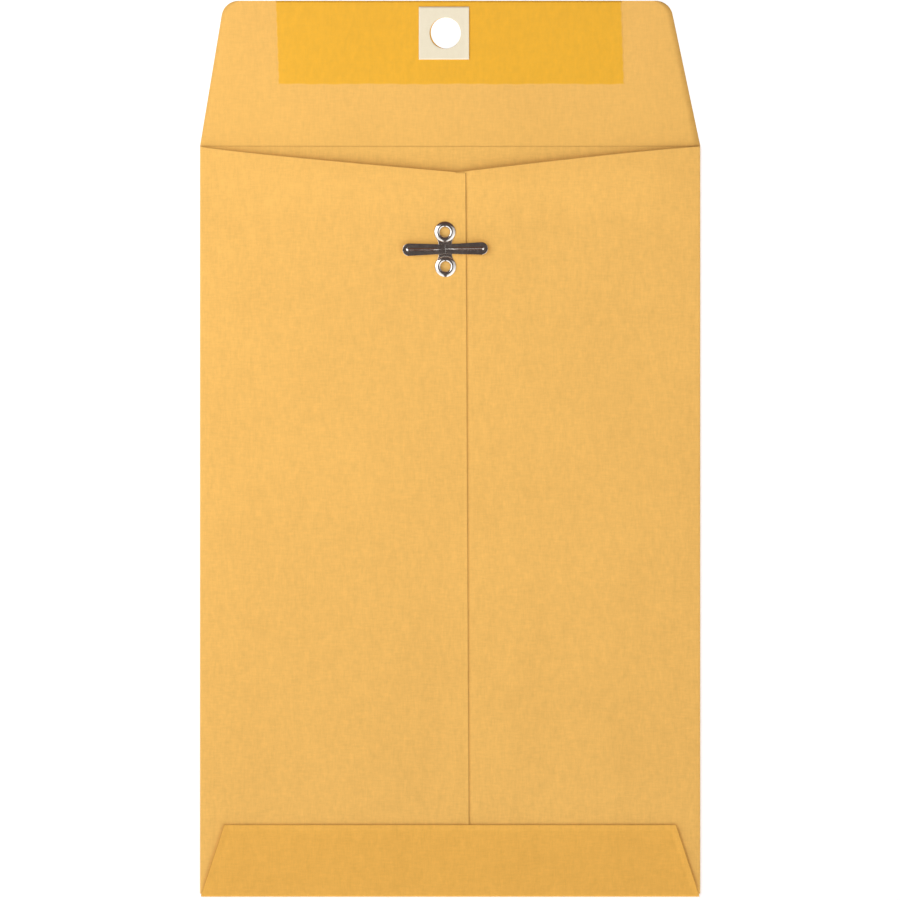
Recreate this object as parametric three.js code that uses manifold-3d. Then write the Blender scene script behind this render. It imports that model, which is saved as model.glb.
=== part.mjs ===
// A 6 by 9 inch kraft clasp envelope. It lies face down with its clasp up and its closure flap open.
// Sizes are in millimetres. X runs across the envelope, Y up it to the closure flap, Z up from the table.
// The origin is the middle of the front panel's outer face, which rests on the table.
import * as THREE from "three";
import { mergeVertices } from "three/addons/utils/BufferGeometryUtils.js";
import Module from "manifold-3d";

const wasm = await Module();
wasm.setup();

// The folded paper body
const BODY_WIDTH = 152.4;
const BODY_HEIGHT = 228.6;
const PAPER = 0.15;
const POCKET = 0.6; // air between the front panel and the seam tab of an empty envelope
const GLUE = 0.05;
const FOLD_CLEARANCE = 0.3; // what the cut edges of the panels keep from the folds beside them

// The throat, where the back panels dip below the closure flap's fold
const THROAT_DEPTH = 7.8;
const LIP_STEP = 0.3; // the left panel's edge is cut this much lower beside the seam
const LIP_WIDTH = 3.1;

// The centre seam: the left panel lies over a tab of the right one
const SEAM_X = 4.9;
const SEAM_LEAN = 1.1; // how far the seam drifts to the right on its way down
const SEAM_OVERLAP = 13.1;
const TAB_RAMP = 2.2; // the width over which the right panel sinks under the left one
const RAMP_CLEARANCE = 0.4;
const GLUE_INSET = 1.2;

// The bottom flap
const BOTTOM_DEPTH = 22;
const BOTTOM_TAPER = 7.4;
const BOTTOM_GLUE_INSET = 2.5;

// The closure flap
const FLAP_DEPTH = 44.4;
const FLAP_TAPER_LEFT = 7.3;
const FLAP_TAPER_RIGHT = 9.3;
const FLAP_CORNER = 5.2;
const SCORE_WIDTH = 0.3;
const HINGE_REACH = 0.6; // the crease turns this far beyond the fold line, round the envelope's edge
const FLAP_CLEARANCE = 0.05; // what the closed flap keeps from the clasp's eyelets

// The hole, its patch and the gum strip, all on the closure flap
const HOLE_RADIUS = 4.75;
const HOLE_LEAD = 2; // the closed hole lies this far beyond the clasp, so that the standing prongs enter it
const PATCH_WIDTH = 15.3;
const PATCH_HEIGHT = 16.1;
const PATCH_SHIFT = -0.4;
const PATCH_THICKNESS = 0.18;
const GUM_THICKNESS = 0.03;
const GUM_DEPTH = 25.6;
const GUM_END_INSET = 15.3; // from the flap's top corners to the ends of the strip
const GUM_LEAN = 0.9;

// The clasp
const CLASP_X = -1.5;
const CLASP_DROP = 31.35; // below the closure flap's fold
const CLASP_TILT = 1; // degrees
const METAL = 0.25;
const CLASP_SEAT = 0.02; // what the clasp keeps from the paper
const EYELET_SPACING = 10.5;
const EYELET_RADIUS = 3.2;
const EYELET_RISE = 0.6;
const CROWN_RADIUS = 2.05; // where an eyelet stands highest, nearer its bore than its rim
const EYELET_METAL = 0.2; // thinner, because the eyelets are drawn
const BORE_RADIUS = 1.475;
const BORE_CLEARANCE = 0.1;
const CLINCH_RADIUS = 2.6;
const CLINCH_BEND = 0.15;
const CLINCH_GAP = 0.03;
const WEB_WIDTH = 3.8;
const NECK_FILLET = 0.8;
const WEB_ENTRY = 0.5; // how far the web runs in under each eyelet's rim

// The prongs, folded back over the web and then out again
const PRONG_SPAN = 25.7; // from tip to tip
const PRONG_ROOT_WIDTH = 2.7;
const PRONG_TIP_WIDTH = 3.65;
const PRONG_OFFSET = 0.55; // from the clasp's middle to the bend of each prong
const PRONG_CLEARANCE = 0.1; // over the closed flap, and between a prong and the leg that carries it
const LAYER_GAP = 0.05;
const LEG_BEND = 0.2;
const RIB_RISE = 0.25;
const RIB_WIDTH = 1.1;
const RIB_METAL = 0.2; // between the rib and the groove behind it
const RIB_START = 1.6;
const RIB_TIP_INSET = 0.9;

// Facets
const FOLD_STEPS = 12;
const CORNER_STEPS = 10;
const HOLE_STEPS = 56;
const EYELET_STEPS = 36;
const DOME_STEPS = 12;
const CLINCH_STEPS = 3;
const BEND_STEPS = 6;
const RIB_STEPS = 16;
const OVERSHOOT = 1; // what a cutting prism stands out past what it cuts

// Levels above the table
const tabBottom = PAPER + POCKET;
const tabTop = tabBottom + PAPER;
const backBottom = tabTop + GLUE;
const backTop = backBottom + PAPER;
const bottomFlapBottom = backTop + GLUE;
const bottomFlapTop = bottomFlapBottom + PAPER;
const gumTop = PAPER + GUM_THICKNESS;
const patchTop = gumTop + PATCH_THICKNESS;
const eyeletTop = backTop + EYELET_RISE;
const hingeZ = (eyeletTop + FLAP_CLEARANCE + patchTop) / 2;
const prongBottom = 2 * hingeZ + PRONG_CLEARANCE;

// Places in plan
const halfWidth = BODY_WIDTH / 2;
const foldY = BODY_HEIGHT / 2;
const sideFold = backTop / 2;
const bottomFold = bottomFlapTop / 2;
const bottomFoldY = -foldY + bottomFold;
const panelBottom = bottomFoldY + FOLD_CLEARANCE;
const throatY = foldY - THROAT_DEPTH;
const lipY = throatY - LIP_STEP;
const seamBottomX = SEAM_X + SEAM_LEAN;
const tabEdgeX = SEAM_X - SEAM_OVERLAP;
const claspY = foldY - CLASP_DROP;
const hingeY = foldY + HINGE_REACH;
const holeY = 2 * hingeY - claspY + HOLE_LEAD;
const flapTopY = foldY + FLAP_DEPTH;
const tilt = THREE.MathUtils.degToRad(CLASP_TILT);

const LEFT = -1;
const RIGHT = 1;
const X_AXIS = new THREE.Vector3(1, 0, 0);
const Y_AXIS = new THREE.Vector3(0, 1, 0);
const Z_AXIS = new THREE.Vector3(0, 0, 1);

// Materials, one new one for each mesh
const finish = (color, roughness, metalness = 0) => () =>
  new THREE.MeshStandardMaterial({ color, roughness, metalness, flatShading: true });
const kraft = finish("#f0b966", 0.85);
const gum = finish("#f0b43c", 0.35);
const cream = finish("#eee4cb", 0.8);
const adhesive = finish("#e6dcc4", 0.5);
const steel = finish("#b8b2aa", 0.25, 1);

// A closed geometry as a solid that can be joined and cut
function solidOf(geometry) {
  geometry.deleteAttribute("normal");
  geometry.deleteAttribute("uv");
  const merged = mergeVertices(geometry.index ? geometry.toNonIndexed() : geometry);
  const vertProperties = merged.attributes.position.array;
  const triVerts = new Uint32Array(merged.index.array);
  return new wasm.Manifold(new wasm.Mesh({ numProp: 3, vertProperties, triVerts }));
}

function meshOf(name, solid, material) {
  const { vertProperties, triVerts } = solid.getMesh();
  const geometry = new THREE.BufferGeometry();
  geometry.setAttribute("position", new THREE.BufferAttribute(vertProperties, 3));
  geometry.setIndex(new THREE.BufferAttribute(triVerts, 1));
  const mesh = new THREE.Mesh(geometry, material());
  mesh.name = name;
  return mesh;
}

function outlineOf(points) {
  return new THREE.Shape(points.map(([x, y]) => new THREE.Vector2(x, y)));
}

function arc(x, y, radius, from, to, steps) {
  return Array.from({ length: steps + 1 }, (_, i) => {
    const angle = from + ((to - from) * i) / steps;
    return [x + radius * Math.cos(angle), y + radius * Math.sin(angle)];
  });
}

// A corner of a counter-clockwise outline, rounded to a radius
function roundCorner(before, corner, after, radius) {
  const back = new THREE.Vector2(...before).sub(corner).normalize();
  const on = new THREE.Vector2(...after).sub(corner).normalize();
  const half = back.angleTo(on) / 2;
  const inward = back.clone().add(on).setLength(radius / Math.sin(half));
  const centre = new THREE.Vector2(corner.x, corner.y).add(inward);
  const start = back.angle() + Math.PI / 2;
  return arc(centre.x, centre.y, radius, start, start + Math.PI - 2 * half, CORNER_STEPS);
}

function circleHole(x, y, radius, steps) {
  const points = arc(x, y, radius, 0, 2 * Math.PI, steps).slice(0, -1);
  return new THREE.Path(points.map(([px, py]) => new THREE.Vector2(px, py)));
}

// An outline in plan, from one level up to another
function plate(shape, bottom, top) {
  const geometry = new THREE.ExtrudeGeometry(shape, { depth: top - bottom, bevelEnabled: false });
  return solidOf(geometry.translate(0, 0, bottom));
}

// A section that stands upright, its first axis along `across`, swept level for a length from `start`
function sweep(section, across, start, length) {
  const geometry = new THREE.ExtrudeGeometry(section, { depth: length, bevelEnabled: false });
  const along = across.clone().cross(Z_AXIS);
  const placed = new THREE.Matrix4().makeBasis(across, Z_AXIS, along).setPosition(start);
  return solidOf(geometry.applyMatrix4(placed));
}

// The closed outline of a strip of metal along the points of its centre line
function strip(line, thickness) {
  const beside = (distance) =>
    line.map(([x, y], i) => {
      const [fromX, fromY] = line[Math.max(i - 1, 0)];
      const [toX, toY] = line[Math.min(i + 1, line.length - 1)];
      const share = distance / Math.hypot(toX - fromX, toY - fromY);
      return [x - (toY - fromY) * share, y + (toX - fromX) * share];
    });
  return [...beside(thickness / 2), ...beside(-thickness / 2).reverse()];
}

// A paper panel's section with the fold that it turns over. The fold's foot is at the origin and bulges
// back from it, and the panel runs on to `reach`, or down a ramp to a lower level
function foldedSection(radius, reach, tail = []) {
  const quarter = Math.PI / 2;
  const inner = radius - PAPER;
  const upper = tail.length ? tail.slice(0, tail.length / 2) : [[reach, 2 * radius]];
  const lower = tail.length ? tail.slice(tail.length / 2) : [[reach, 2 * radius - PAPER]];
  return outlineOf([
    ...arc(0, radius, radius, -quarter, -3 * quarter, FOLD_STEPS),
    ...upper,
    ...lower,
    ...arc(0, radius, inner, -3 * quarter, -quarter, FOLD_STEPS),
  ]);
}

// What the two eyelets' barrels clear in the paper and the glue
function barrelRoom() {
  const radius = BORE_RADIUS + EYELET_METAL + BORE_CLEARANCE;
  const [upper, lower] = [1, -1].map((side) => {
    const x = CLASP_X - (side * Math.sin(tilt) * EYELET_SPACING) / 2;
    const y = claspY + (side * Math.cos(tilt) * EYELET_SPACING) / 2;
    const disc = outlineOf(arc(x, y, radius, 0, 2 * Math.PI, HOLE_STEPS).slice(1));
    return plate(disc, -OVERSHOOT, backTop + OVERSHOOT);
  });
  return upper.add(lower);
}

// The front panel, between the side folds and from the bottom fold up to the closure flap's score line
function frontPanel() {
  const edge = halfWidth - sideFold;
  const outline = outlineOf([
    [-edge, bottomFoldY],
    [edge, bottomFoldY],
    [edge, foldY],
    [-edge, foldY],
  ]);
  return meshOf("front_panel", plate(outline, 0, PAPER), kraft);
}

// The left back panel with its side fold. Its free edge is the seam that shows
function leftBackPanel() {
  const start = new THREE.Vector3(-halfWidth + sideFold, foldY, 0);
  const section = foldedSection(sideFold, seamBottomX + OVERSHOOT - start.x);
  const outline = outlineOf([
    [-halfWidth - OVERSHOOT, panelBottom],
    [seamBottomX, panelBottom],
    [SEAM_X, lipY],
    [SEAM_X - LIP_WIDTH, lipY],
    [SEAM_X - LIP_WIDTH, throatY],
    [-halfWidth, foldY],
    [-halfWidth - OVERSHOOT, foldY],
  ]);
  const panel = sweep(section, X_AXIS, start, BODY_HEIGHT)
    .intersect(plate(outline, -OVERSHOOT, backTop + OVERSHOOT))
    .subtract(barrelRoom());
  return meshOf("left_back_panel", panel, kraft);
}

// The right back panel with its side fold. It sinks beside the seam and runs on as the glued tab
function rightBackPanel() {
  const start = new THREE.Vector3(halfWidth - sideFold, -foldY, 0);
  const rampBottom = start.x - seamBottomX - RAMP_CLEARANCE;
  const rampTop = rampBottom - TAB_RAMP;
  const edge = start.x - tabEdgeX;
  const tail = [
    [rampTop, backTop],
    [rampBottom, tabTop],
    [edge, tabTop],
    [edge, tabBottom],
    [rampBottom, tabBottom],
    [rampTop, backBottom],
  ];
  const slope = THROAT_DEPTH / (halfWidth - SEAM_X);
  const outline = outlineOf([
    [tabEdgeX, panelBottom],
    [halfWidth + OVERSHOOT, panelBottom],
    [halfWidth + OVERSHOOT, foldY],
    [halfWidth, foldY],
    [tabEdgeX, foldY - slope * (halfWidth - tabEdgeX)],
  ]);
  const panel = sweep(foldedSection(sideFold, edge, tail), X_AXIS.clone().negate(), start, BODY_HEIGHT)
    .intersect(plate(outline, -OVERSHOOT, backTop + OVERSHOOT))
    .subtract(barrelRoom());
  return meshOf("right_back_panel", panel, kraft);
}

// The glue line between the two back panels, with room for the clasp's barrels
function seamGlue() {
  const bottom = panelBottom + GLUE_INSET;
  const top = lipY - 2 * GLUE_INSET;
  const outline = outlineOf([
    [tabEdgeX + GLUE_INSET, bottom],
    [SEAM_X - GLUE_INSET, bottom],
    [SEAM_X - GLUE_INSET, top],
    [tabEdgeX + GLUE_INSET, top],
  ]);
  return meshOf("seam_glue", plate(outline, tabTop, backBottom).subtract(barrelRoom()), adhesive);
}

// The bottom flap's trapezoid, or the glue film's smaller one inside it
function bottomOutline(inset, bottom) {
  const side = halfWidth - bottomFold / 2 - inset;
  const topHalf = halfWidth - BOTTOM_TAPER - inset;
  const topY = -foldY + BOTTOM_DEPTH - inset;
  const bendY = bottomFoldY + inset;
  return outlineOf([
    [-side, bottom],
    [side, bottom],
    [side, bendY],
    [topHalf, topY],
    [-topHalf, topY],
    [-side, bendY],
  ]);
}

// The bottom flap, turned over the ends of both back panels
function bottomFlap() {
  const start = new THREE.Vector3(-halfWidth, bottomFoldY, 0);
  const swept = sweep(foldedSection(bottomFold, BOTTOM_DEPTH), Y_AXIS, start, BODY_WIDTH);
  const cutter = plate(bottomOutline(0, -foldY - OVERSHOOT), -OVERSHOOT, bottomFlapTop + OVERSHOOT);
  return meshOf("bottom_flap", swept.intersect(cutter), kraft);
}

function bottomFlapGlue() {
  const outline = bottomOutline(BOTTOM_GLUE_INSET, panelBottom + GLUE_INSET);
  return meshOf("bottom_flap_glue", plate(outline, backTop, bottomFlapBottom), adhesive);
}

// The closure flap, flat on the table, with rounded outer corners and the hole for the prongs
function closureFlap() {
  const rootLeft = [-halfWidth, foldY + SCORE_WIDTH];
  const rootRight = [halfWidth, foldY + SCORE_WIDTH];
  const topRight = new THREE.Vector2(halfWidth - FLAP_TAPER_RIGHT, flapTopY);
  const topLeft = new THREE.Vector2(-halfWidth + FLAP_TAPER_LEFT, flapTopY);
  const shape = outlineOf([
    rootLeft,
    rootRight,
    ...roundCorner(rootRight, topRight, topLeft.toArray(), FLAP_CORNER),
    ...roundCorner(topRight.toArray(), topLeft, rootLeft, FLAP_CORNER),
  ]);
  shape.holes.push(circleHole(CLASP_X, holeY, HOLE_RADIUS, HOLE_STEPS));
  return meshOf("closure_flap", plate(shape, 0, PAPER), kraft);
}

// The gum strip, whose ends lean a little because it is laid on before the flap is cut
function flapGum() {
  const left = -halfWidth + FLAP_TAPER_LEFT + GUM_END_INSET;
  const right = halfWidth - FLAP_TAPER_RIGHT - GUM_END_INSET;
  const low = flapTopY - GUM_DEPTH;
  const shape = outlineOf([
    [left + GUM_LEAN, low],
    [right + GUM_LEAN, low],
    [right, flapTopY],
    [left, flapTopY],
  ]);
  shape.holes.push(circleHole(CLASP_X, holeY, HOLE_RADIUS, HOLE_STEPS));
  return meshOf("flap_gum", plate(shape, PAPER, gumTop), gum);
}

// The patch that keeps the clasp from tearing the flap's hole
function holePatch() {
  const x = CLASP_X + PATCH_SHIFT;
  const shape = outlineOf([
    [x - PATCH_WIDTH / 2, holeY - PATCH_HEIGHT / 2],
    [x + PATCH_WIDTH / 2, holeY - PATCH_HEIGHT / 2],
    [x + PATCH_WIDTH / 2, holeY + PATCH_HEIGHT / 2],
    [x - PATCH_WIDTH / 2, holeY + PATCH_HEIGHT / 2],
  ]);
  shape.holes.push(circleHole(CLASP_X, holeY, HOLE_RADIUS, HOLE_STEPS));
  return meshOf("hole_patch", plate(shape, gumTop, patchTop), cream);
}

// One eyelet, revolved: a domed rim, the barrel through both layers of paper, and the clinched flange.
// Levels here are above the paper that the clasp sits on
function eyelet() {
  const half = EYELET_METAL / 2;
  const rim = EYELET_RADIUS - half;
  const barrel = BORE_RADIUS + half;
  const rise = EYELET_RISE - half - CLASP_SEAT;
  const flangeZ = tabBottom - backTop - CLINCH_GAP - half;
  const bendZ = flangeZ + CLINCH_BEND;
  const dome = arc(0, 0, 1, 0, Math.PI, DOME_STEPS).map(([out, up]) => [
    CROWN_RADIUS + out * (out > 0 ? rim - CROWN_RADIUS : CROWN_RADIUS - barrel),
    CLASP_SEAT + up * rise,
  ]);
  const clinch = arc(barrel + CLINCH_BEND, bendZ, CLINCH_BEND, Math.PI, 1.5 * Math.PI, CLINCH_STEPS);
  const outline = strip([...dome, ...clinch, [CLINCH_RADIUS, flangeZ]], EYELET_METAL)
    .map(([radius, z]) => new THREE.Vector2(radius, z))
    .reverse();
  const turned = new THREE.LatheGeometry([...outline, outline[0]], EYELET_STEPS);
  return solidOf(turned.rotateX(Math.PI / 2));
}

// A quarter of the web's outline: the neck's side, its concave fillet, and the edge under the eyelet's rim
function neckQuarter() {
  const side = WEB_WIDTH / 2;
  const ringY = EYELET_SPACING / 2;
  const across = side + NECK_FILLET;
  const drop = Math.sqrt((EYELET_RADIUS + NECK_FILLET) ** 2 - across ** 2);
  const bearing = Math.atan2(-drop, across);
  const fillet = arc(across, ringY - drop, NECK_FILLET, Math.PI, Math.PI + bearing, CORNER_STEPS);
  const entry = arc(0, ringY, EYELET_RADIUS - WEB_ENTRY, bearing, -Math.PI / 2, CORNER_STEPS);
  return [...fillet, ...entry];
}

// The flat web between the eyelets, with a neck at each end
function web() {
  const quarter = neckQuarter();
  const flip = (sx, sy) => quarter.map(([x, y]) => [sx * x, sy * y]);
  const open = (points) => points.slice(0, -1);
  const outline = outlineOf([
    ...open(flip(1, 1)),
    ...open(flip(-1, 1).reverse()),
    ...open(flip(-1, -1)),
    ...open(flip(1, -1).reverse()),
  ]);
  return plate(outline, CLASP_SEAT, CLASP_SEAT + METAL);
}

const prongZ = prongBottom - backTop + METAL / 2; // the prongs' middle, above the paper that carries the clasp

// A tongue folded back over the web and turned up as the short leg under one prong
function tongue(side) {
  const webZ = CLASP_SEAT + METAL / 2;
  const fold = (METAL + LAYER_GAP) / 2;
  const foldX = WEB_WIDTH / 2;
  const armZ = webZ + 2 * fold;
  const line = [
    [foldX - METAL, webZ],
    ...arc(foldX, webZ + fold, fold, -Math.PI / 2, Math.PI / 2, BEND_STEPS),
    ...arc(PRONG_OFFSET + LEG_BEND, armZ + LEG_BEND, LEG_BEND, -Math.PI / 2, -Math.PI, BEND_STEPS),
    [PRONG_OFFSET, prongZ - METAL / 2 - PRONG_CLEARANCE],
  ];
  const start = new THREE.Vector3(0, (side * PRONG_ROOT_WIDTH) / 2, 0);
  const across = X_AXIS.clone().multiplyScalar(side);
  return sweep(outlineOf(strip(line, METAL)), across, start, PRONG_ROOT_WIDTH);
}

// The fixed part of the clasp
function claspBase() {
  const eyelets = [-1, 1].map((side) => eyelet().translate([0, (side * EYELET_SPACING) / 2, 0]));
  const tongues = [LEFT, RIGHT].map(tongue);
  const base = [...eyelets, ...tongues].reduce((all, one) => all.add(one), web());
  return meshOf("clasp_base", base, steel);
}

// A round-ended bar along a prong, flattened to a rise
function ribForm(width, rise, start, end) {
  const radius = width / 2;
  const profile = [
    ...arc(0, start + radius, radius, -Math.PI / 2, 0, BEND_STEPS),
    ...arc(0, end - radius, radius, 0, Math.PI / 2, BEND_STEPS),
  ].map(([r, y]) => new THREE.Vector2(Math.max(r, 0), y));
  const turned = new THREE.LatheGeometry(profile, RIB_STEPS);
  return solidOf(turned.rotateZ(-Math.PI / 2).scale(1, 1, rise / radius));
}

// One prong as it lies flat: a blade that widens to a round tip, with an embossed rib and a rolled root.
// Its bend is at the origin, and it runs along X
function prong() {
  const length = PRONG_SPAN / 2 - PRONG_OFFSET;
  const root = PRONG_ROOT_WIDTH / 2;
  const tip = PRONG_TIP_WIDTH / 2;
  const lean = Math.asin((tip - root) / (length - tip));
  const blade = outlineOf([
    [0, -root],
    ...arc(length - tip, 0, tip, -Math.PI / 2 - lean, Math.PI / 2 + lean, 2 * CORNER_STEPS),
    [0, root],
  ]);
  const rolled = new THREE.CylinderGeometry(METAL / 2, METAL / 2, PRONG_ROOT_WIDTH, RIB_STEPS);
  const ribEnd = length - RIB_TIP_INSET;
  const wall = RIB_WIDTH / 2 - RIB_METAL;
  const rib = ribForm(RIB_WIDTH, RIB_RISE, RIB_START, ribEnd).translate([0, 0, METAL / 2]);
  const groove = ribForm(2 * wall, RIB_RISE, RIB_START + RIB_METAL, ribEnd - RIB_METAL);
  return plate(blade, -METAL / 2, METAL / 2)
    .add(solidOf(rolled))
    .add(rib)
    .subtract(groove.translate([0, 0, -METAL / 2]));
}

function placedProng(name, side) {
  const mesh = meshOf(name, prong(), steel);
  mesh.position.set(side * PRONG_OFFSET, 0, prongZ);
  mesh.rotation.z = side === LEFT ? Math.PI : 0;
  return mesh;
}

// The clasp, turned a little on the envelope
function clasp() {
  const group = new THREE.Group();
  group.add(claspBase(), placedProng("left_prong", LEFT), placedProng("right_prong", RIGHT));
  group.position.set(CLASP_X, claspY, backTop);
  group.rotation.z = tilt;
  return group;
}

const body = new THREE.Group();
body.add(frontPanel(), leftBackPanel(), rightBackPanel(), seamGlue(), bottomFlap(), bottomFlapGlue());

const flap = new THREE.Group();
flap.add(closureFlap(), flapGum(), holePatch());

const envelope = new THREE.Group();
envelope.add(body, flap, clasp());

export default envelope;
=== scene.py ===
import bpy
import numpy as np
from bpy.props import FloatProperty, FloatVectorProperty, PointerProperty
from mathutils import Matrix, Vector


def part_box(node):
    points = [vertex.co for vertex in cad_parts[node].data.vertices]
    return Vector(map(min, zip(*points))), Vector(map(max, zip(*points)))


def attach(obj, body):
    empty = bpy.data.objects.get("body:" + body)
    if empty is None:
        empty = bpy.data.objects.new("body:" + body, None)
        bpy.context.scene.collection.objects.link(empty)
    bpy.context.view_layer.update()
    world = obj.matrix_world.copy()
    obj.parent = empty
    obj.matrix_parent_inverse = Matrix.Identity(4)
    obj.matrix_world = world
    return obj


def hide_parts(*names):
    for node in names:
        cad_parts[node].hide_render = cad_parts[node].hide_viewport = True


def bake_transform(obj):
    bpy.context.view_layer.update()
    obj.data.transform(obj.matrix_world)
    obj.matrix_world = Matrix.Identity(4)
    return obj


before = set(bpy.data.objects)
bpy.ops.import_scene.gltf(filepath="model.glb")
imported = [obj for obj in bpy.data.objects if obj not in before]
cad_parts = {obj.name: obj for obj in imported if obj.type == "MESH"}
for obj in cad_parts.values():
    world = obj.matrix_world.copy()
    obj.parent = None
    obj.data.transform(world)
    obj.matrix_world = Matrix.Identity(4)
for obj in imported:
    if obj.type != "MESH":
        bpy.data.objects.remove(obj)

bl_info = {
    "name": "Clasp envelope",
    "version": (1, 0, 0),
    "blender": (4, 5, 0),
    "location": "View3D > Sidebar > Clasp envelope",
    "description": "Builds the paper, gum, patch and clasp of a kraft clasp envelope",
    "category": "Add Mesh",
}

MM = 0.001


def box_mm(node):
    """The lowest and highest corners of a solid, in millimetres."""
    low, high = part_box(node)
    return np.array(low) / MM, np.array(high) / MM


# Levels and outlines that come from the solids
FRONT_LOW, FRONT_HIGH = box_mm("front_panel")
LEFT_LOW, LEFT_HIGH = box_mm("left_back_panel")
RIGHT_LOW, RIGHT_HIGH = box_mm("right_back_panel")
BOTTOM_HIGH = box_mm("bottom_flap")[1]
FLAP_LOW, FLAP_HIGH = box_mm("closure_flap")
GUM_LOW, GUM_HIGH = box_mm("flap_gum")
PATCH_LOW, PATCH_HIGH = box_mm("hole_patch")
GLUE_LOW, GLUE_HIGH = box_mm("seam_glue")

PAPER = FRONT_HIGH[2]
HALF_WIDTH = RIGHT_HIGH[0]
FOLD_Y = FRONT_HIGH[1]
BACK_TOP = LEFT_HIGH[2]
BACK_MIDDLE = BACK_TOP - PAPER / 2
PANEL_BOTTOM = LEFT_LOW[1]
SIDE_FOLD = BACK_TOP / 2
SIDE_FOLD_X = FRONT_HIGH[0]
BOTTOM_FOLD = BOTTOM_HIGH[2] / 2
BOTTOM_FOLD_Y = FRONT_LOW[1]
BOTTOM_FLAP_Y = BOTTOM_HIGH[1]
FLAP_TOP_Y = FLAP_HIGH[1]
TAB_EDGE_X = RIGHT_LOW[0]

# Sizes of the paper that the boxes don't give, as in the solids or within half a millimetre of them. A throat
# bend under 1 bows its edge downwards and one over 1 upwards.
THROAT_DEPTH = 7.85
THROAT_BEND = 0.85
RIGHT_THROAT_DEPTH = 7.6
RIGHT_THROAT_BEND = 1.15
LIP_STEP = 0.3
LIP_WIDTH = 3.1
SEAM_X = 4.78
SEAM_LEAN = 1.1
LIP_X = SEAM_X - LIP_WIDTH
LIP_Y = FOLD_Y - THROAT_DEPTH - LIP_STEP
TAB_DROP = PAPER + 0.05
TAB_RAMP = 1.7
RAMP_CLEARANCE = 0.25
BOTTOM_TAPER = 7.4
FLAP_TAPER_LEFT = 7.3
FLAP_TAPER_RIGHT = 9.3
FLAP_CORNER = 5.2
GUM_LEAN = 0.9
GUM_SHIFT = (0.3, 0.65)
HOLE_RADIUS = 4.75
HOLE = np.array([-1.5, (PATCH_LOW[1] + PATCH_HIGH[1]) / 2])
HOLE_BLOCK = (HOLE[0] - 6, HOLE[0] + 6, HOLE[1] - 6, HOLE[1] + 5.75)

# Soft forms of the paper that the solids don't have. Each pair is where a smooth step starts and ends.
ROWS_BEND_Y = 92
THROAT_RISE_Y = 91.5
PILLOW_FOOT = 45
PILLOW_TOP = (55, 90)
PILLOW_WAVE = 0.2
PINNED_ROUND_CLASP = (11, 40)
SEAM_MARGIN = 1.4
SEAM_LIFT_TOP = (98, 105)
FLAP_TOP_MARGIN = 2.2
FLAP_TOP_LIFTS = 2
FLAP_SIDE_MARGIN = 2.4
FLAP_SIDE_LIFTS = 5
PATCH_MARGIN = 1.6
PATCH_LIFT = 0.16
PRESSED_ROUND_CLASP = (5, 16)

# Strengths and widths of the marks on the paper. The edge and score marks are painted shade, the mark in the
# eyelets' bores is painted light, and the fold rubs are wear.
EDGE_PAINTED_SHADE = 0.35
EDGE_WIDTH = 0.14
SEAM_PAINTED_SHADE = 1.2
SEAM_PAINTED_SHADE_Y = (60, 92)
FOLD_RUB = 0.35
FOLD_RUB_WIDTH = 0.5
SCORE_WIDTH = 0.27
PANEL_SCORE_SHADE = 0.14
FLAP_SCORE_SHADE = 0.16
SCORE_DENT = 0.03
# Painted light that pales the kraft seen through the eyelets' bores, and the radii over which it fades
BORE_PAINTED_LIGHT = 0.9
BORE_PAINTED_LIGHT_RADII = (1.3, 1.9)
GUM_FEATHER = 0.8
GUM_FEATHER_WIDTH = 0.5

# The gum's edges. Each wave has a height, its radians for each millimetre of s and of t, and a start.
GUM_SHIFT_X = (10, 40)
GUM_WAVER_REACH = 3
GUM_END_WAVES = ((0.09, 0.3, 1.7, 0), (0.05, 0, 4.1, 0))
GUM_FOOT_WAVES = ((0.07, 0.9, 0, 0), (0.06, 0.23, 0, 1))
GUM_THIN_EDGE = 0.25
GUM_THIN_WIDTH = 0.6

# Tones that differ from a paper's mean colour
# The colour of the painted shade along cut edges and score lines
PAINTED_SHADE_COLOUR = (0.19, 0.075, 0.018, 1)
KRAFT_DARK_TINT = (1, 0.985, 0.95)
# The rubbed tint pales the worn folds, and also paints light into the eyelets' bores.
KRAFT_RUBBED_TINT = (1.04, 1.1, 1.3)
KRAFT_FIBRES = 1.7
FLAP_GRAIN = 0.75
BOTTOM_TINT = (0.96, 0.895, 0.665)
PATCH_DARK_TINT = (1, 0.99, 0.96)
PATCH_EDGE_TONE = 1.1
GLUE_LIGHT = (0.86, 0.82, 0.72, 1)
GLUE_DARK = (0.74, 0.68, 0.55, 1)
GLUE_THICKNESS = 0.04

# The clasp, whose middle lies at CLASP. The rest is in its own axes: X along the prongs, Y from eyelet to
# eyelet, Z up from the paper.
CLASP = np.array([-1.5, FOLD_Y - 31.35, BACK_TOP])
CLASP_TILT = np.radians(1.0)
METAL = 0.25
CLASP_SEAT = 0.02
EYELET_Y = 5.25
EYELET_RADIUS = 3.3
EYELET_RISE = 0.6
EYELET_METAL = 0.2
CROWN_RADIUS = 2.05
BORE_RADIUS = 1.475
BARREL_ROOM = 1.775
BARREL_BLOCK = 2.6
CLINCH_RADIUS = 2.6
CLINCH_BEND = 0.15
CLINCH_LEVEL = -0.48
WEB_HALF = 2.05
NECK_FILLET = 2.0
PRONG_LEVEL = box_mm("left_prong")[0][2] + METAL / 2 - BACK_TOP
PRONG_TIP_X = 13.0
PRONG_ROOT_HALF = 1.47
PRONG_TIP_RADIUS = 1.93
TONGUE_GAP = 0.05
TONGUE_EDGE = 0.09
WEB_EDGE = 0.05
PRONG_EDGE = 0.12
PRONG_TIP_WEAR = 0.25
LEG_X = 0.17
LEG_CORNER = 0.015
LEG_SPLIT = 0.8
RIB_END_X = 11.35
RIB_HALF_WIDTH = 0.5
RIB_START = (0.2, 4.5)
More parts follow.
